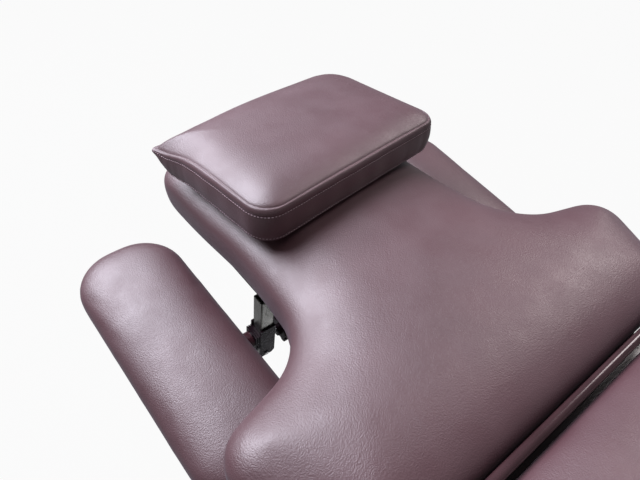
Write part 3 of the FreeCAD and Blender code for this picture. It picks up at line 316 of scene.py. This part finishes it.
lining = new_finish("board_lining", colour=(0.05, 0.045, 0.045), roughness=0.85)
lining_cloud = noise_of(lining, scale=14)
colour_between(lining, lining_cloud, low=(0.038, 0.034, 0.034), high=(0.060, 0.054, 0.052))
for along_thread in ((1, 0.3, 1), (0.3, 1, 1)):
    threads = noise_of(lining, scale=THREAD_SCALE, detail=1, stretch=along_thread)
    relief(lining, threads, THREAD_RELIEF, THREAD_DEPTH)
lining.node_tree.nodes["Principled BSDF"].inputs["Specular IOR Level"].default_value = LINING_SHINE
dress(lining, "plywood", "back_board", "seat_board", "leg_board", "arm_board_left", "arm_board_right")


# Armrest brackets: a square tube of satin steel, a black sleeve that slides on it with its
# knob, and the dark brown glossy moulding that carries the pad.
SLEEVE_SHINE = 0.08

satin = new_finish("satin_steel", colour=(0.27, 0.27, 0.24), roughness=0.22, metallic=1.0)
roughness_between(satin, noise_of(satin, scale=60, stretch=(6, 6, 0.4)), low=0.17, high=0.30)
colour_between(satin, noise_of(satin, scale=20), low=(0.24, 0.24, 0.21), high=(0.30, 0.30, 0.27))
brush_lines = noise_of(satin, scale=300, detail=2, stretch=(1, 1, 0.1))
relief(satin, brush_lines, strength=0.05, depth=0.0003)
dress(satin, "chrome", "arm_tube_left", "arm_tube_right")

brown = new_finish("brown_moulding", colour=(0.055, 0.018, 0.024), roughness=0.2)
brown_cloud = noise_of(brown, scale=40, detail=4)
colour_between(brown, brown_cloud, low=(0.045, 0.014, 0.019), high=(0.070, 0.025, 0.032))
roughness_between(brown, noise_of(brown, scale=90), low=0.14, high=0.28)
relief(brown, noise_of(brown, scale=120, detail=2), strength=0.05, depth=0.001)
dress(brown, "hub_plastic", "arm_hub_left", "arm_hub_right")

sleeve = new_finish("sleeve_moulding", colour=(0.012, 0.006, 0.009), roughness=0.26)
sleeve_cloud = noise_of(sleeve, scale=40, detail=4)
colour_between(sleeve, sleeve_cloud, low=(0.009, 0.004, 0.006), high=(0.018, 0.009, 0.013))
roughness_between(sleeve, noise_of(sleeve, scale=90), low=0.20, high=0.34)
relief(sleeve, noise_of(sleeve, scale=700, detail=2), strength=0.08, depth=0.0003)
sleeve.node_tree.nodes["Principled BSDF"].inputs["Specular IOR Level"].default_value = SLEEVE_SHINE
dress(sleeve, "black_plastic", "arm_block_left", "arm_block_right", "arm_knob_left", "arm_knob_right")


# Clamp screws: a slotted pan-head screw of bright steel low on each armrest's sleeve,
# turned tight against the tube.
SCREW_R = 0.0034
SCREW_HEAD = 0.0022
SCREW_FACES = 32
SCREW_ROUND = 0.00035
SCREW_SMOOTH = math.radians(40)
SLOT_WIDE = 0.0009
SLOT_DEEP = 0.0011
SLOT_TURN = 0.6
SLEEVE_LEAN = math.radians(7.5)
ARM_PIVOT = Vector((0.1565, 0.640, 0.453))
SCREW_OUT = 0.014
SCREW_DOWN = 0.0385


def apply_modifier(piece, kind, **settings):
    """Select a piece alone, give it a modifier and apply it."""
    modifier = piece.modifiers.new(kind.lower(), kind)
    for key, value in settings.items():
        setattr(modifier, key, value)
    bpy.ops.object.select_all(action="DESELECT")
    piece.select_set(True)
    bpy.context.view_layer.objects.active = piece
    bpy.ops.object.modifier_apply(modifier=modifier.name)


screw_out = Vector((0, -math.cos(SLEEVE_LEAN), -math.sin(SLEEVE_LEAN)))
screw_down = Vector((0, math.sin(SLEEVE_LEAN), -math.cos(SLEEVE_LEAN)))
screw_turn = (math.pi / 2 + SLEEVE_LEAN, 0, 0)
for side, sign in (("left", -1), ("right", 1)):
    seat = ARM_PIVOT + screw_out * SCREW_OUT + screw_down * SCREW_DOWN
    seat.x *= sign
    bpy.ops.object.select_all(action="DESELECT")
    bpy.ops.mesh.primitive_cylinder_add(vertices=SCREW_FACES, radius=SCREW_R, depth=2 * SCREW_HEAD,
                                        location=seat, rotation=screw_turn)
    screw = bpy.context.object
    screw.name = "clamp_screw_" + side
    bpy.ops.mesh.primitive_cube_add(size=1, location=seat + screw_out * SCREW_HEAD, rotation=screw_turn)
    blade = bpy.context.object
    blade.scale = (3 * SCREW_R, SLOT_WIDE, 2 * SLOT_DEEP)
    blade.rotation_euler.rotate_axis("Z", SLOT_TURN)
    apply_modifier(screw, "BOOLEAN", operation="DIFFERENCE", object=blade, solver="EXACT")
    apply_modifier(screw, "BEVEL", width=SCREW_ROUND, segments=3, limit_method="ANGLE")
    bpy.data.objects.remove(blade)
    bpy.ops.object.transform_apply(location=True, rotation=True, scale=True)
    bpy.ops.object.shade_smooth_by_angle(angle=SCREW_SMOOTH)
    screw.data.materials.append(zinc)
    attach(screw, "arm_slide_" + side)
    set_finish(screw, "steel")


# Leather: a soft synthetic hide in mauve brown, semi-gloss, with a fine pebble grain that
# runs in short waves.
HIDE_DARK = (0.060, 0.023, 0.028)
HIDE_LIGHT = (0.088, 0.037, 0.044)
HIDE_SHINE = 1.0
HIDE_SHEEN = 0.06
HIDE_SHEEN_ROUGHNESS = 0.4
HIDE_SHEEN_TINT = (0.85, 0.82, 1.0, 1)
GRAIN_SCALE = 680
GRAIN_SMOOTHNESS = 0.6
GRAIN_WANDER_SCALE = 90
GRAIN_WANDER = 0.004

hide = new_finish("mauve_leather", colour=HIDE_LIGHT, roughness=0.40)
hide_tree = hide.node_tree
colour_between(hide, noise_of(hide, scale=7, detail=5), HIDE_DARK, HIDE_LIGHT, near=0.2, far=0.8)
roughness_between(hide, noise_of(hide, scale=26, detail=4), low=0.45, high=0.53)
hide_place = hide_tree.nodes.new("ShaderNodeTexCoord")
hide_wander = hide_tree.nodes.new("ShaderNodeTexNoise")
hide_wander.inputs["Scale"].default_value = GRAIN_WANDER_SCALE
hide_shift = hide_tree.nodes.new("ShaderNodeMixRGB")
hide_shift.blend_type = "LINEAR_LIGHT"
hide_shift.inputs["Fac"].default_value = GRAIN_WANDER
hide_pebble = hide_tree.nodes.new("ShaderNodeTexVoronoi")
hide_pebble.feature = "SMOOTH_F1"
hide_pebble.inputs["Scale"].default_value = GRAIN_SCALE
hide_pebble.inputs["Smoothness"].default_value = GRAIN_SMOOTHNESS
hide_tree.links.new(hide_place.outputs["Object"], hide_wander.inputs["Vector"])
hide_tree.links.new(hide_place.outputs["Object"], hide_shift.inputs["Color1"])
hide_tree.links.new(hide_wander.outputs["Color"], hide_shift.inputs["Color2"])
hide_tree.links.new(hide_shift.outputs["Color"], hide_pebble.inputs["Vector"])
relief(hide, noise_of(hide, scale=160), strength=0.04, depth=0.0010)
relief(hide, hide_pebble.outputs["Distance"], strength=0.24, depth=-0.0010)
hide_shader = hide_tree.nodes["Principled BSDF"]
hide_shader.inputs["Specular IOR Level"].default_value = HIDE_SHINE
hide_shader.inputs["Sheen Weight"].default_value = HIDE_SHEEN
hide_shader.inputs["Sheen Roughness"].default_value = HIDE_SHEEN_ROUGHNESS
hide_shader.inputs["Sheen Tint"].default_value = HIDE_SHEEN_TINT


# Back, seat and leg cushions: foam on a board, one seamless cover pulled round it, so the
# top is crowned, rolls far over every edge and falls steeply to the board.
CUSHION_ROLL = 0.040
CUSHION_REACH = 0.100
CUSHION_FULLNESS = 2.1
CUSHION_CROWN = 0.006
CROWN_REACHES = 2.2
LOW_EDGE = 0.012
LOW_EDGE_ROLLS = 2.2
BACK_MESH = 0.0065
WIDE_MESH = 0.009
OUTLINE_STEP = 0.003
SAME_PLACE = 1e-5
NO_LENGTH = 1e-6
WALL_REACH = 0.001
WAIST = 0.058
WAIST_Y = 0.645
WAIST_SPREAD = 0.110
CLOTH_STEPS = 20
CLOTH_PRESSURE = 4.0
CLOTH_MOST = 0.004
CLOTH_HELD = 0.02
CLOTH_STIFFNESS = 40
CLOTH_BENDING = 5
COVER_SMOOTHING = 12


def evenly(outline, step):
    """The same closed line with its points at even distances."""
    closed = np.vstack([outline, outline[:1]])
    along = np.concatenate([[0], np.cumsum(np.linalg.norm(np.diff(closed, axis=0), axis=1))])
    count = int(along[-1] / step)
    marks = np.arange(count) * along[-1] / count
    return np.stack([np.interp(marks, along, closed[:, axis]) for axis in range(closed.shape[1])], axis=1)


def levelling(pitch):
    """Turn that lays a pitched pad level about its pivot."""
    pivot = Matrix.Translation((0, ARM_PIVOT.y, ARM_PIVOT.z))
    return pivot @ Matrix.Rotation(-pitch, 4, "X") @ pivot.inverted()


def outline_of(node, pitch=0.0):
    """Points along the widest outline of a CAD cushion, in order, seen from above."""
    mesh = bmesh.new()
    mesh.from_mesh(nodes[node].data)
    mesh.transform(levelling(pitch))
    bmesh.ops.remove_doubles(mesh, verts=mesh.verts, dist=SAME_PLACE)
    heights = [vert.co.z for vert in mesh.verts]
    middle = Vector((0, 0, (min(heights) + max(heights)) / 2))
    cut = bmesh.ops.bisect_plane(mesh, geom=mesh.verts[:] + mesh.edges[:] + mesh.faces[:],
                                 plane_co=middle, plane_no=(0, 0, 1))
    edges = [item for item in cut["geom_cut"] if isinstance(item, bmesh.types.BMEdge)]
    near = {}
    for edge in edges:
        for vert in edge.verts:
            near.setdefault(vert, []).append(edge.other_vert(vert))
    first = next(iter(near))
    loop = [first]
    last = None
    here = first
    while True:
        step = [vert for vert in near[here] if vert is not last]
        if not step or step[0] is first:
            break
        last, here = here, step[0]
        loop.append(here)
    points = np.array([(vert.co.x, vert.co.y) for vert in loop])
    mesh.free()
    return evenly(points, OUTLINE_STEP)


def outward_of(outline):
    """Unit vectors out of a closed plan outline, one at each point."""
    run = np.roll(outline, -1, axis=0) - np.roll(outline, 1, axis=0)
    run /= np.linalg.norm(run, axis=1)[:, None]
    after = np.roll(outline, -1, axis=0)
    turning = np.sum(outline[:, 0] * after[:, 1] - after[:, 0] * outline[:, 1])
    return np.stack([run[:, 1], -run[:, 0]], axis=1) * math.copysign(1, turning)


def nearest_edge(points, outline):
    """Nearest place on the outline for each plan point, how far away it is, and outwards there."""
    marks = KDTree(len(outline))
    for k, (x, y) in enumerate(outline):
        marks.insert((x, y, 0), k)
    marks.balance()
    nearest = np.array([marks.find((x, y, 0))[1] for x, y in points])
    distance = np.full(len(points), np.inf)
    place = np.zeros_like(points)
    for first in (nearest - 1, nearest):
        run = outline[(first + 1) % len(outline)] - outline[first]
        along = np.clip(((points - outline[first]) * run).sum(1) / (run ** 2).sum(1), 0, 1)
        foot = outline[first] + along[:, None] * run
        gap = np.linalg.norm(points - foot, axis=1)
        closer = gap < distance
        distance[closer] = gap[closer]
        place[closer] = foot[closer]
    return place, distance, outward_of(outline)[nearest]


def places_of(piece):
    """The places of a mesh's points, one row each."""
    place = np.empty(len(piece.data.vertices) * 3)
    piece.data.vertices.foreach_get("co", place)
    return place.reshape(-1, 3)


def solid_copy(node, name):
    """A copy of a CAD soft solid as its own closed mesh, ready to be shaped."""
    piece = nodes[node].copy()
    piece.data = nodes[node].data.copy()
    piece.name = name
    piece.parent = None
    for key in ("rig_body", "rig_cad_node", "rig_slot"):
        if key in piece:
            del piece[key]
    bpy.context.scene.collection.objects.link(piece)
    bpy.ops.object.select_all(action="DESELECT")
    piece.select_set(True)
    bpy.context.view_layer.objects.active = piece
    bpy.ops.object.mode_set(mode="EDIT")
    bpy.ops.mesh.select_all(action="SELECT")
    bpy.ops.mesh.remove_doubles(threshold=SAME_PLACE)
    bpy.ops.object.mode_set(mode="OBJECT")
    return piece


def swell(piece, held_below):
    """Blow the cover up a little over its foam; what lies on the board stays put."""
    start = places_of(piece)
    held = piece.vertex_groups.new(name="held")
    held.add([int(k) for k in np.nonzero(start[:, 2] < held_below)[0]], 1.0, "REPLACE")
    cloth = piece.modifiers.new("cloth", "CLOTH")
    cloth.settings.use_pressure = True
    cloth.settings.uniform_pressure_force = CLOTH_PRESSURE
    cloth.settings.vertex_group_mass = "held"
    cloth.settings.effector_weights.gravity = 0
    cloth.settings.tension_stiffness = CLOTH_STIFFNESS
    cloth.settings.compression_stiffness = CLOTH_STIFFNESS
    cloth.settings.bending_stiffness = CLOTH_BENDING
    for step in range(1, CLOTH_STEPS + 1):
        bpy.context.scene.frame_set(step)
    shown = piece.evaluated_get(bpy.context.evaluated_depsgraph_get())
    move = places_of(shown) - start
    length = np.maximum(np.linalg.norm(move, axis=1), NO_LENGTH)
    move *= np.minimum(1, CLOTH_MOST / length)[:, None]
    piece.modifiers.remove(cloth)
    piece.data.vertices.foreach_set("co", (start + move).ravel())
    piece.data.update()
    bpy.context.scene.frame_set(1)


def finish_cover(piece, body, node):
    """Give a cover its leather and the body it rides on, and hide the CAD cushion it stands for."""
    bpy.ops.object.select_all(action="DESELECT")
    piece.select_set(True)
    bpy.context.view_layer.objects.active = piece
    bpy.ops.object.shade_smooth()
    piece.data.materials.clear()
    piece.data.materials.append(hide)
    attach(piece, body)
    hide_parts(node)
    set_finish(piece, "leather")


def narrowing(along_bed):
    """How much the cover draws the back cushion's neck in, by the place along the bed."""
    return 1 - WAIST * np.exp(-((along_bed - WAIST_Y) / WAIST_SPREAD) ** 2)


def upholster(node, name, body, mesh_size, roll, reach, fullness, crown, pitch=0.0):
    """Cushion with a crowned top, a far roll over the edge and a steep fall to its board."""
    outline = outline_of(node, pitch)
    piece = solid_copy(node, name)
    piece.data.transform(levelling(pitch))
    apply_modifier(piece, "REMESH", mode="VOXEL", voxel_size=mesh_size, use_smooth_shade=True)
    place = places_of(piece)
    low = place[:, 2].min()
    half = (place[:, 2].max() - low) / 2
    middle = low + half
    edge, inside, out = nearest_edge(place[:, :2], outline)
    above = place[:, 2] > middle
    wall = half - roll
    corner = roll * math.pi / 2
    climb = place[:, 2] - middle
    round_it = wall + roll * np.arctan2(climb - wall, np.maximum(roll - inside, NO_LENGTH))
    share = np.clip(np.where(climb < wall, climb, round_it) / (wall + corner), 0, 1)
    rolled = above & (inside < roll)
    reached = np.where(rolled, roll * share ** 2, inside)
    dome = (1 - (1 - np.clip(reached / reach, 0, 1)) ** fullness) ** (1 / fullness)
    dip = crown * (1 - np.clip(reached / (CROWN_REACHES * reach), 0, 1))
    place[:, 2] = np.where(above, middle + (half - dip) * dome, place[:, 2])
    under = LOW_EDGE_ROLLS * roll
    steep = np.interp(inside, (0, roll, under), (0, LOW_EDGE, under))
    reached = np.where(above, reached, steep)
    inward = (place[:, :2] - edge) / np.maximum(inside, NO_LENGTH)[:, None]
    inward = np.where((inside > WALL_REACH)[:, None], inward, -out)
    place[:, :2] = edge + inward * reached[:, None]
    if node == "back_cushion":
        place[:, 0] *= narrowing(place[:, 1])
    piece.data.vertices.foreach_set("co", place.ravel())
    piece.data.update()
    swell(piece, low + CLOTH_HELD)
    apply_modifier(piece, "SMOOTH", factor=0.5, iterations=COVER_SMOOTHING)
    apply_modifier(piece, "SUBSURF", levels=1, render_levels=1)
    piece.data.transform(levelling(-pitch))
    finish_cover(piece, body, node)


for section, body, mesh_size in (("back", "back", BACK_MESH), ("seat", "lift", WIDE_MESH),
                                 ("leg", "leg", WIDE_MESH)):
    upholster(section + "_cushion", section + "_cover", body, mesh_size,
              CUSHION_ROLL, CUSHION_REACH, CUSHION_FULLNESS, CUSHION_CROWN)


# Lower lips: where the cover turns under the board it is drawn tight over the board's edge
# and stands out as a narrow ridge below a crease, but hides under the roll along the neck.
LIP_PROFILE = ((-0.012, 0.0005), (-0.004, 0.0005), (-0.0005, 0.0030), (0.0005, 0.0070),
               (-0.0005, 0.0110), (-0.004, 0.0140), (-0.012, 0.0150))
LIP_STEP = 0.006
LIP_INSET = 0.003
LIP_HIDDEN = 0.016
LIP_HIDES_FROM = 0.53
LIP_HIDDEN_BY = 0.63


def ring_strip(name, rings, closed_profile=True):
    """Mesh through rings of equal length, joined across and, if asked, back to the first."""
    count = len(rings[0])
    mesh = bmesh.new()
    rows = [[mesh.verts.new(point) for point in ring] for ring in rings]
    spans = list(zip(rows, rows[1:]))
    if closed_profile:
        spans.append((rows[-1], rows[0]))
    for lower, upper in spans:
        for k in range(count):
            after = (k + 1) % count
            mesh.faces.new((lower[k], lower[after], upper[after], upper[k]))
    data = bpy.data.meshes.new(name)
    mesh.to_mesh(data)
    mesh.free()
    piece = bpy.data.objects.new(name, data)
    bpy.context.scene.collection.objects.link(piece)
    apply_modifier(piece, "SUBSURF", levels=1, render_levels=1)
    close_up(piece)
    return piece


def close_up(piece):
    """Close what is open in a mesh and turn its faces outwards."""
    mesh = bmesh.new()
    mesh.from_mesh(piece.data)
    rims = [edge for edge in mesh.edges if edge.is_boundary]
    bmesh.ops.holes_fill(mesh, edges=rims, sides=0)
    bmesh.ops.recalc_face_normals(mesh, faces=mesh.faces)
    mesh.to_mesh(piece.data)
    mesh.free()


for section, body in (("back", "back"), ("seat", "lift"), ("leg", "leg")):
    lip_line = evenly(outline_of(section + "_cushion"), LIP_STEP)
    if section == "back":
        lip_line[:, 0] *= narrowing(lip_line[:, 1])
    lip_out = outward_of(lip_line)
    lip_in = np.interp(lip_line[:, 1], (LIP_HIDES_FROM, LIP_HIDDEN_BY), (LIP_INSET, LIP_HIDDEN))
    lip_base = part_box(section + "_cushion")[0].z
    lip_rings = []
    for out, up in LIP_PROFILE:
        ring = lip_line + lip_out * (out - lip_in)[:, None]
        lip_rings.append([(x, y, lip_base + up) for x, y in ring])
    lip = ring_strip(section + "_lip", lip_rings)
    bpy.ops.object.shade_smooth()
    lip.data.materials.append(hide)
    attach(lip, body)
    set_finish(lip, "leather")


# Armrest pads: long and rounded, crowned all the way across, in the same hide with no
# seam on top.
PAD_MESH = 0.0045
PAD_ROLL = 0.028
PAD_REACH = 0.070
PAD_FULLNESS = 2.3
PAD_PITCH = math.radians(8)
for side in ("left", "right"):
    upholster("arm_pad_" + side, "arm_cover_" + side, "arm_rest_" + side, PAD_MESH,
              PAD_ROLL, PAD_REACH, PAD_FULLNESS, crown=0.0, pitch=PAD_PITCH)


# Pillow: a soft wedge with a crowned top panel, a raised band between two seams all round
# it, boxing stitched again just above the back cushion, and one corner drawn to a point.
PILLOW_PLACE = (0.006, 0.745)
PILLOW_TURN = math.radians(5.4)
PILLOW_BASE = 0.6506
PILLOW_CORNERS = ((-0.180, -0.124, 0.034), (0.184, -0.104, 0.036), (0.184, 0.140, 0.050),
                  (-0.130, 0.134, 0.080), (-0.190, 0.128, 0.006), (-0.180, 0.055, 0.090))
PILLOW_CORNER_STEPS = 12
PILLOW_STEP = 0.004
PILLOW_POINT = np.array((-0.190, 0.128))
PILLOW_POINT_LIFT = 0.031
PILLOW_POINT_REACH = 0.022
PILLOW_FAR_CORNER = np.array((0.184, -0.104))
PILLOW_CORE_X = (-0.055, 0.060)
PILLOW_CORE_Y = 0.010
PILLOW_SEAM_UP = 0.0535
PILLOW_SINK = 0.017
PILLOW_SINK_REACH = (0.115, 0.065)
PILLOW_CROWN = 0.014
PILLOW_CROWN_REACH = 0.060
PUCKER_REACH = 0.06
# How deep each wave of the boxing is, and how far it turns over a metre of seam.
POINT_PUCKER = (0.0006, 420)
FAR_PUCKER = (0.0005, 300)
LONG_WAVE = (0.0004, 131)
SLOW_WAVE = (0.0003, 57)
# How far inside the outline and how high each line round the side runs, bottom to top seam.
PILLOW_SIDE = ((0.0300, 0.0000), (0.0120, 0.0003), (0.0055, 0.0015), (0.0025, 0.0040),
               (0.0012, 0.0066), (0.0024, 0.0076), (0.0008, 0.0088), (-0.0008, 0.0150),
               (-0.0018, 0.0240), (-0.0014, 0.0350), (-0.0004, 0.0418), (0.0006, 0.0429),
               (-0.0002, 0.0441), (-0.0002, 0.0470), (0.0008, 0.0500), (0.0026, 0.0524),
               (0.0044, 0.0534), (0.0056, 0.0518), (0.0068, 0.0536))
PANEL_RINGS = 22
PANEL_CROWDING = 1.4
PANEL_END = 0.97
PANEL_SMOOTHING = 24


def rounded_corners(corners, steps):
    """Closed plan line through corners (x, y, radius), each corner an arc of steps points."""
    line = []
    for k, (x, y, radius) in enumerate(corners):
        here = Vector((x, y))
        before = (Vector(corners[k - 1][:2]) - here).normalized()
        after = (Vector(corners[(k + 1) % len(corners)][:2]) - here).normalized()
        half = before.angle(after) / 2
        reach = radius / math.tan(half)
        middle = here + (before + after).normalized() * (radius / math.sin(half))
        start = here + before * reach - middle
        sweep = start.angle_signed(here + after * reach - middle)
        for step in range(steps + 1):
            arm = start.copy()
            arm.rotate(Matrix.Rotation(-sweep * step / steps, 2))
            line.append(middle + arm)
    return np.array(line)


def seam_height(plan):
    """Height of the top seam over the cushion; it sinks towards the pointed corner."""
    away = (plan - PILLOW_POINT) / PILLOW_SINK_REACH
    return PILLOW_SEAM_UP - PILLOW_SINK * np.exp(-(away ** 2).sum(1))


pillow_line = evenly(rounded_corners(PILLOW_CORNERS, PILLOW_CORNER_STEPS), PILLOW_STEP)
core_x = np.clip(pillow_line[:, 0], *PILLOW_CORE_X)
pillow_core = np.stack([core_x, np.full(len(pillow_line), PILLOW_CORE_Y)], axis=1)
pillow_in = pillow_core - pillow_line
pillow_depth = np.linalg.norm(pillow_in, axis=1)
pillow_in /= pillow_depth[:, None]
point_gap = np.linalg.norm(pillow_line - PILLOW_POINT, axis=1)
far_gap = np.linalg.norm(pillow_line - PILLOW_FAR_CORNER, axis=1)
seam_up = seam_height(pillow_line)
base_up = PILLOW_POINT_LIFT * np.exp(-(point_gap / PILLOW_POINT_REACH) ** 2)
pillow_along = np.arange(len(pillow_line)) * PILLOW_STEP


def waves(deep, crowded):
    """How far a row of waves draws the boxing in, along the pillow's outline."""
    return deep * np.sin(pillow_along * crowded)


# The boxing puckers in fine waves at two corners and in long slow ones all round.
pucker = (waves(*POINT_PUCKER) * np.exp(-(point_gap / PUCKER_REACH) ** 2)
          + waves(*FAR_PUCKER) * np.exp(-(far_gap / PUCKER_REACH) ** 2)
          + waves(*LONG_WAVE) + waves(*SLOW_WAVE))


def pillow_ring(inside, up):
    """World places of one line round the pillow; up is its standard height."""
    share = up / PILLOW_SEAM_UP
    wave = pucker * math.sin(math.pi * min(share, 1))
    plan = pillow_line + pillow_in * (inside + wave)[:, None]
    high = PILLOW_BASE + base_up + (seam_up - base_up) * share
    return pillow_world(plan, high)


def pillow_world(plan, high):
    """Places in the bed's frame of points given in the pillow's own plan."""
    turn_c, turn_s = math.cos(PILLOW_TURN), math.sin(PILLOW_TURN)
    x = PILLOW_PLACE[0] + plan[:, 0] * turn_c - plan[:, 1] * turn_s
    y = PILLOW_PLACE[1] + plan[:, 0] * turn_s + plan[:, 1] * turn_c
    return np.stack([x, y, high], axis=1)


pillow_rings = [pillow_ring(inside, up) for inside, up in PILLOW_SIDE]
panel_start = PILLOW_SIDE[-1][0]
for ring in range(1, PANEL_RINGS + 1):
    share = (ring / PANEL_RINGS) ** PANEL_CROWDING * PANEL_END
    inside = panel_start + (pillow_depth - panel_start) * share
    plan = pillow_line + pillow_in * inside[:, None]
    edge, gap, out = nearest_edge(plan, pillow_line)
    near = 1 - np.clip((gap - panel_start) / PILLOW_CROWN_REACH, 0, 1)
    level = PILLOW_SEAM_UP - (PILLOW_SEAM_UP - seam_height(edge)) * near ** 2
    pillow_rings.append(pillow_world(plan, PILLOW_BASE + level + PILLOW_CROWN * (1 - near ** 3)))
panel = np.array(pillow_rings[len(PILLOW_SIDE) - 1:])
rise = panel[:, :, 2]
for step in range(PANEL_SMOOTHING):
    along = (np.roll(rise, 1, axis=1) + np.roll(rise, -1, axis=1)) / 2
    rise[1:-1] = rise[1:-1] / 2 + along[1:-1] / 4 + (rise[:-2] + rise[2:]) / 8
    rise[-1] = (rise[-1] + rise[-1].mean()) / 2
pillow_rings[len(PILLOW_SIDE) - 1:] = list(panel)
pillow_cover = ring_strip("pillow_cover", pillow_rings, closed_profile=False)
finish_cover(pillow_cover, "pillow", "pillow")


# Pillow stitches: short lengths of thread in the seam of the band and in the seam above
# the cushion.
STITCH_PITCH = 0.0044
STITCH_SHARE = 0.58
STITCH_R = 0.0005
STITCH_SIDES = 6
STITCH_PROUD = 0.001
# Which of the lines round the pillow's side are stitched.
PILLOW_LOW_SEAM = 5
PILLOW_BAND_SEAM = 11
# Where along a stitch each of its rings sits and how wide it is there.
STITCH_RINGS = ((0, 0.5), (0.15, 1), (0.85, 1), (1, 0.5))

# The thread is painted much lighter than the mauve leather it matches, as a painted highlight on the
# stitches.
thread = new_finish("thread", colour=(0.26, 0.17, 0.19), roughness=0.6)
thread_cloud = noise_of(thread, scale=300, detail=2)
colour_between(thread, thread_cloud, low=(0.34, 0.24, 0.27), high=(0.50, 0.37, 0.40))
relief(thread, noise_of(thread, scale=2400, detail=1), strength=0.3, depth=0.0002)


def stitches(name, line, body):
    """Rows of little capsules along a closed line of places."""
    path = evenly(line, STITCH_PITCH)
    mesh = bmesh.new()
    for here, after in zip(path, np.roll(path, -1, axis=0)):
        run = Vector(after - here)
        side = run.cross(Vector((0, 0, 1))).normalized()
        up = side.cross(run).normalized()
        rows = []
        for share, size in STITCH_RINGS:
            middle = Vector(here) + run * share * STITCH_SHARE
            row = []
            for k in range(STITCH_SIDES):
                turn = math.tau * k / STITCH_SIDES
                arm = side * math.cos(turn) + up * math.sin(turn)
                row.append(mesh.verts.new(middle + arm * STITCH_R * size))
            rows.append(row)
        for lower, upper in zip(rows, rows[1:]):
            for k in range(STITCH_SIDES):
                after_k = (k + 1) % STITCH_SIDES
                mesh.faces.new((lower[k], lower[after_k], upper[after_k], upper[k]))
        mesh.faces.new(list(reversed(rows[0])))
        mesh.faces.new(rows[-1])
    bmesh.ops.recalc_face_normals(mesh, faces=mesh.faces)
    data = bpy.data.meshes.new(name)
    mesh.to_mesh(data)
    mesh.free()
    piece = bpy.data.objects.new(name, data)
    bpy.context.scene.collection.objects.link(piece)
    piece.data.materials.append(thread)
    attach(piece, body)
    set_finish(piece, "leather")


for seam, name in ((PILLOW_BAND_SEAM, "band_stitches"), (PILLOW_LOW_SEAM, "low_stitches")):
    inside, up = PILLOW_SIDE[seam]
    stitches(name, pillow_ring(inside - STITCH_PROUD, up), "pillow")


# Fold beads: leather over a round core in the gap of each fold, pulled so tight that the light runs along
# it in one line, and the flaps that close the folds from below, painted near black as the shade deep in
# the gaps.
# The bead's leather is painted about half as dark as the hide, a painted shade of the gap it lies in.
bead = new_finish("bead_leather", colour=HIDE_DARK, roughness=0.18)
colour_between(bead, noise_of(bead, scale=20), low=(0.030, 0.013, 0.015), high=(0.042, 0.019, 0.022))
relief(bead, noise_of(bead, scale=500, detail=2), strength=0.06, depth=0.0004)
dress(bead, "leather", "fold_roll_back", "fold_roll_leg")
# The flaps wear the near-black lining cloth as painted shade deep in the fold gaps.
dress(lining, "leather", "back_flap", "leg_flap")
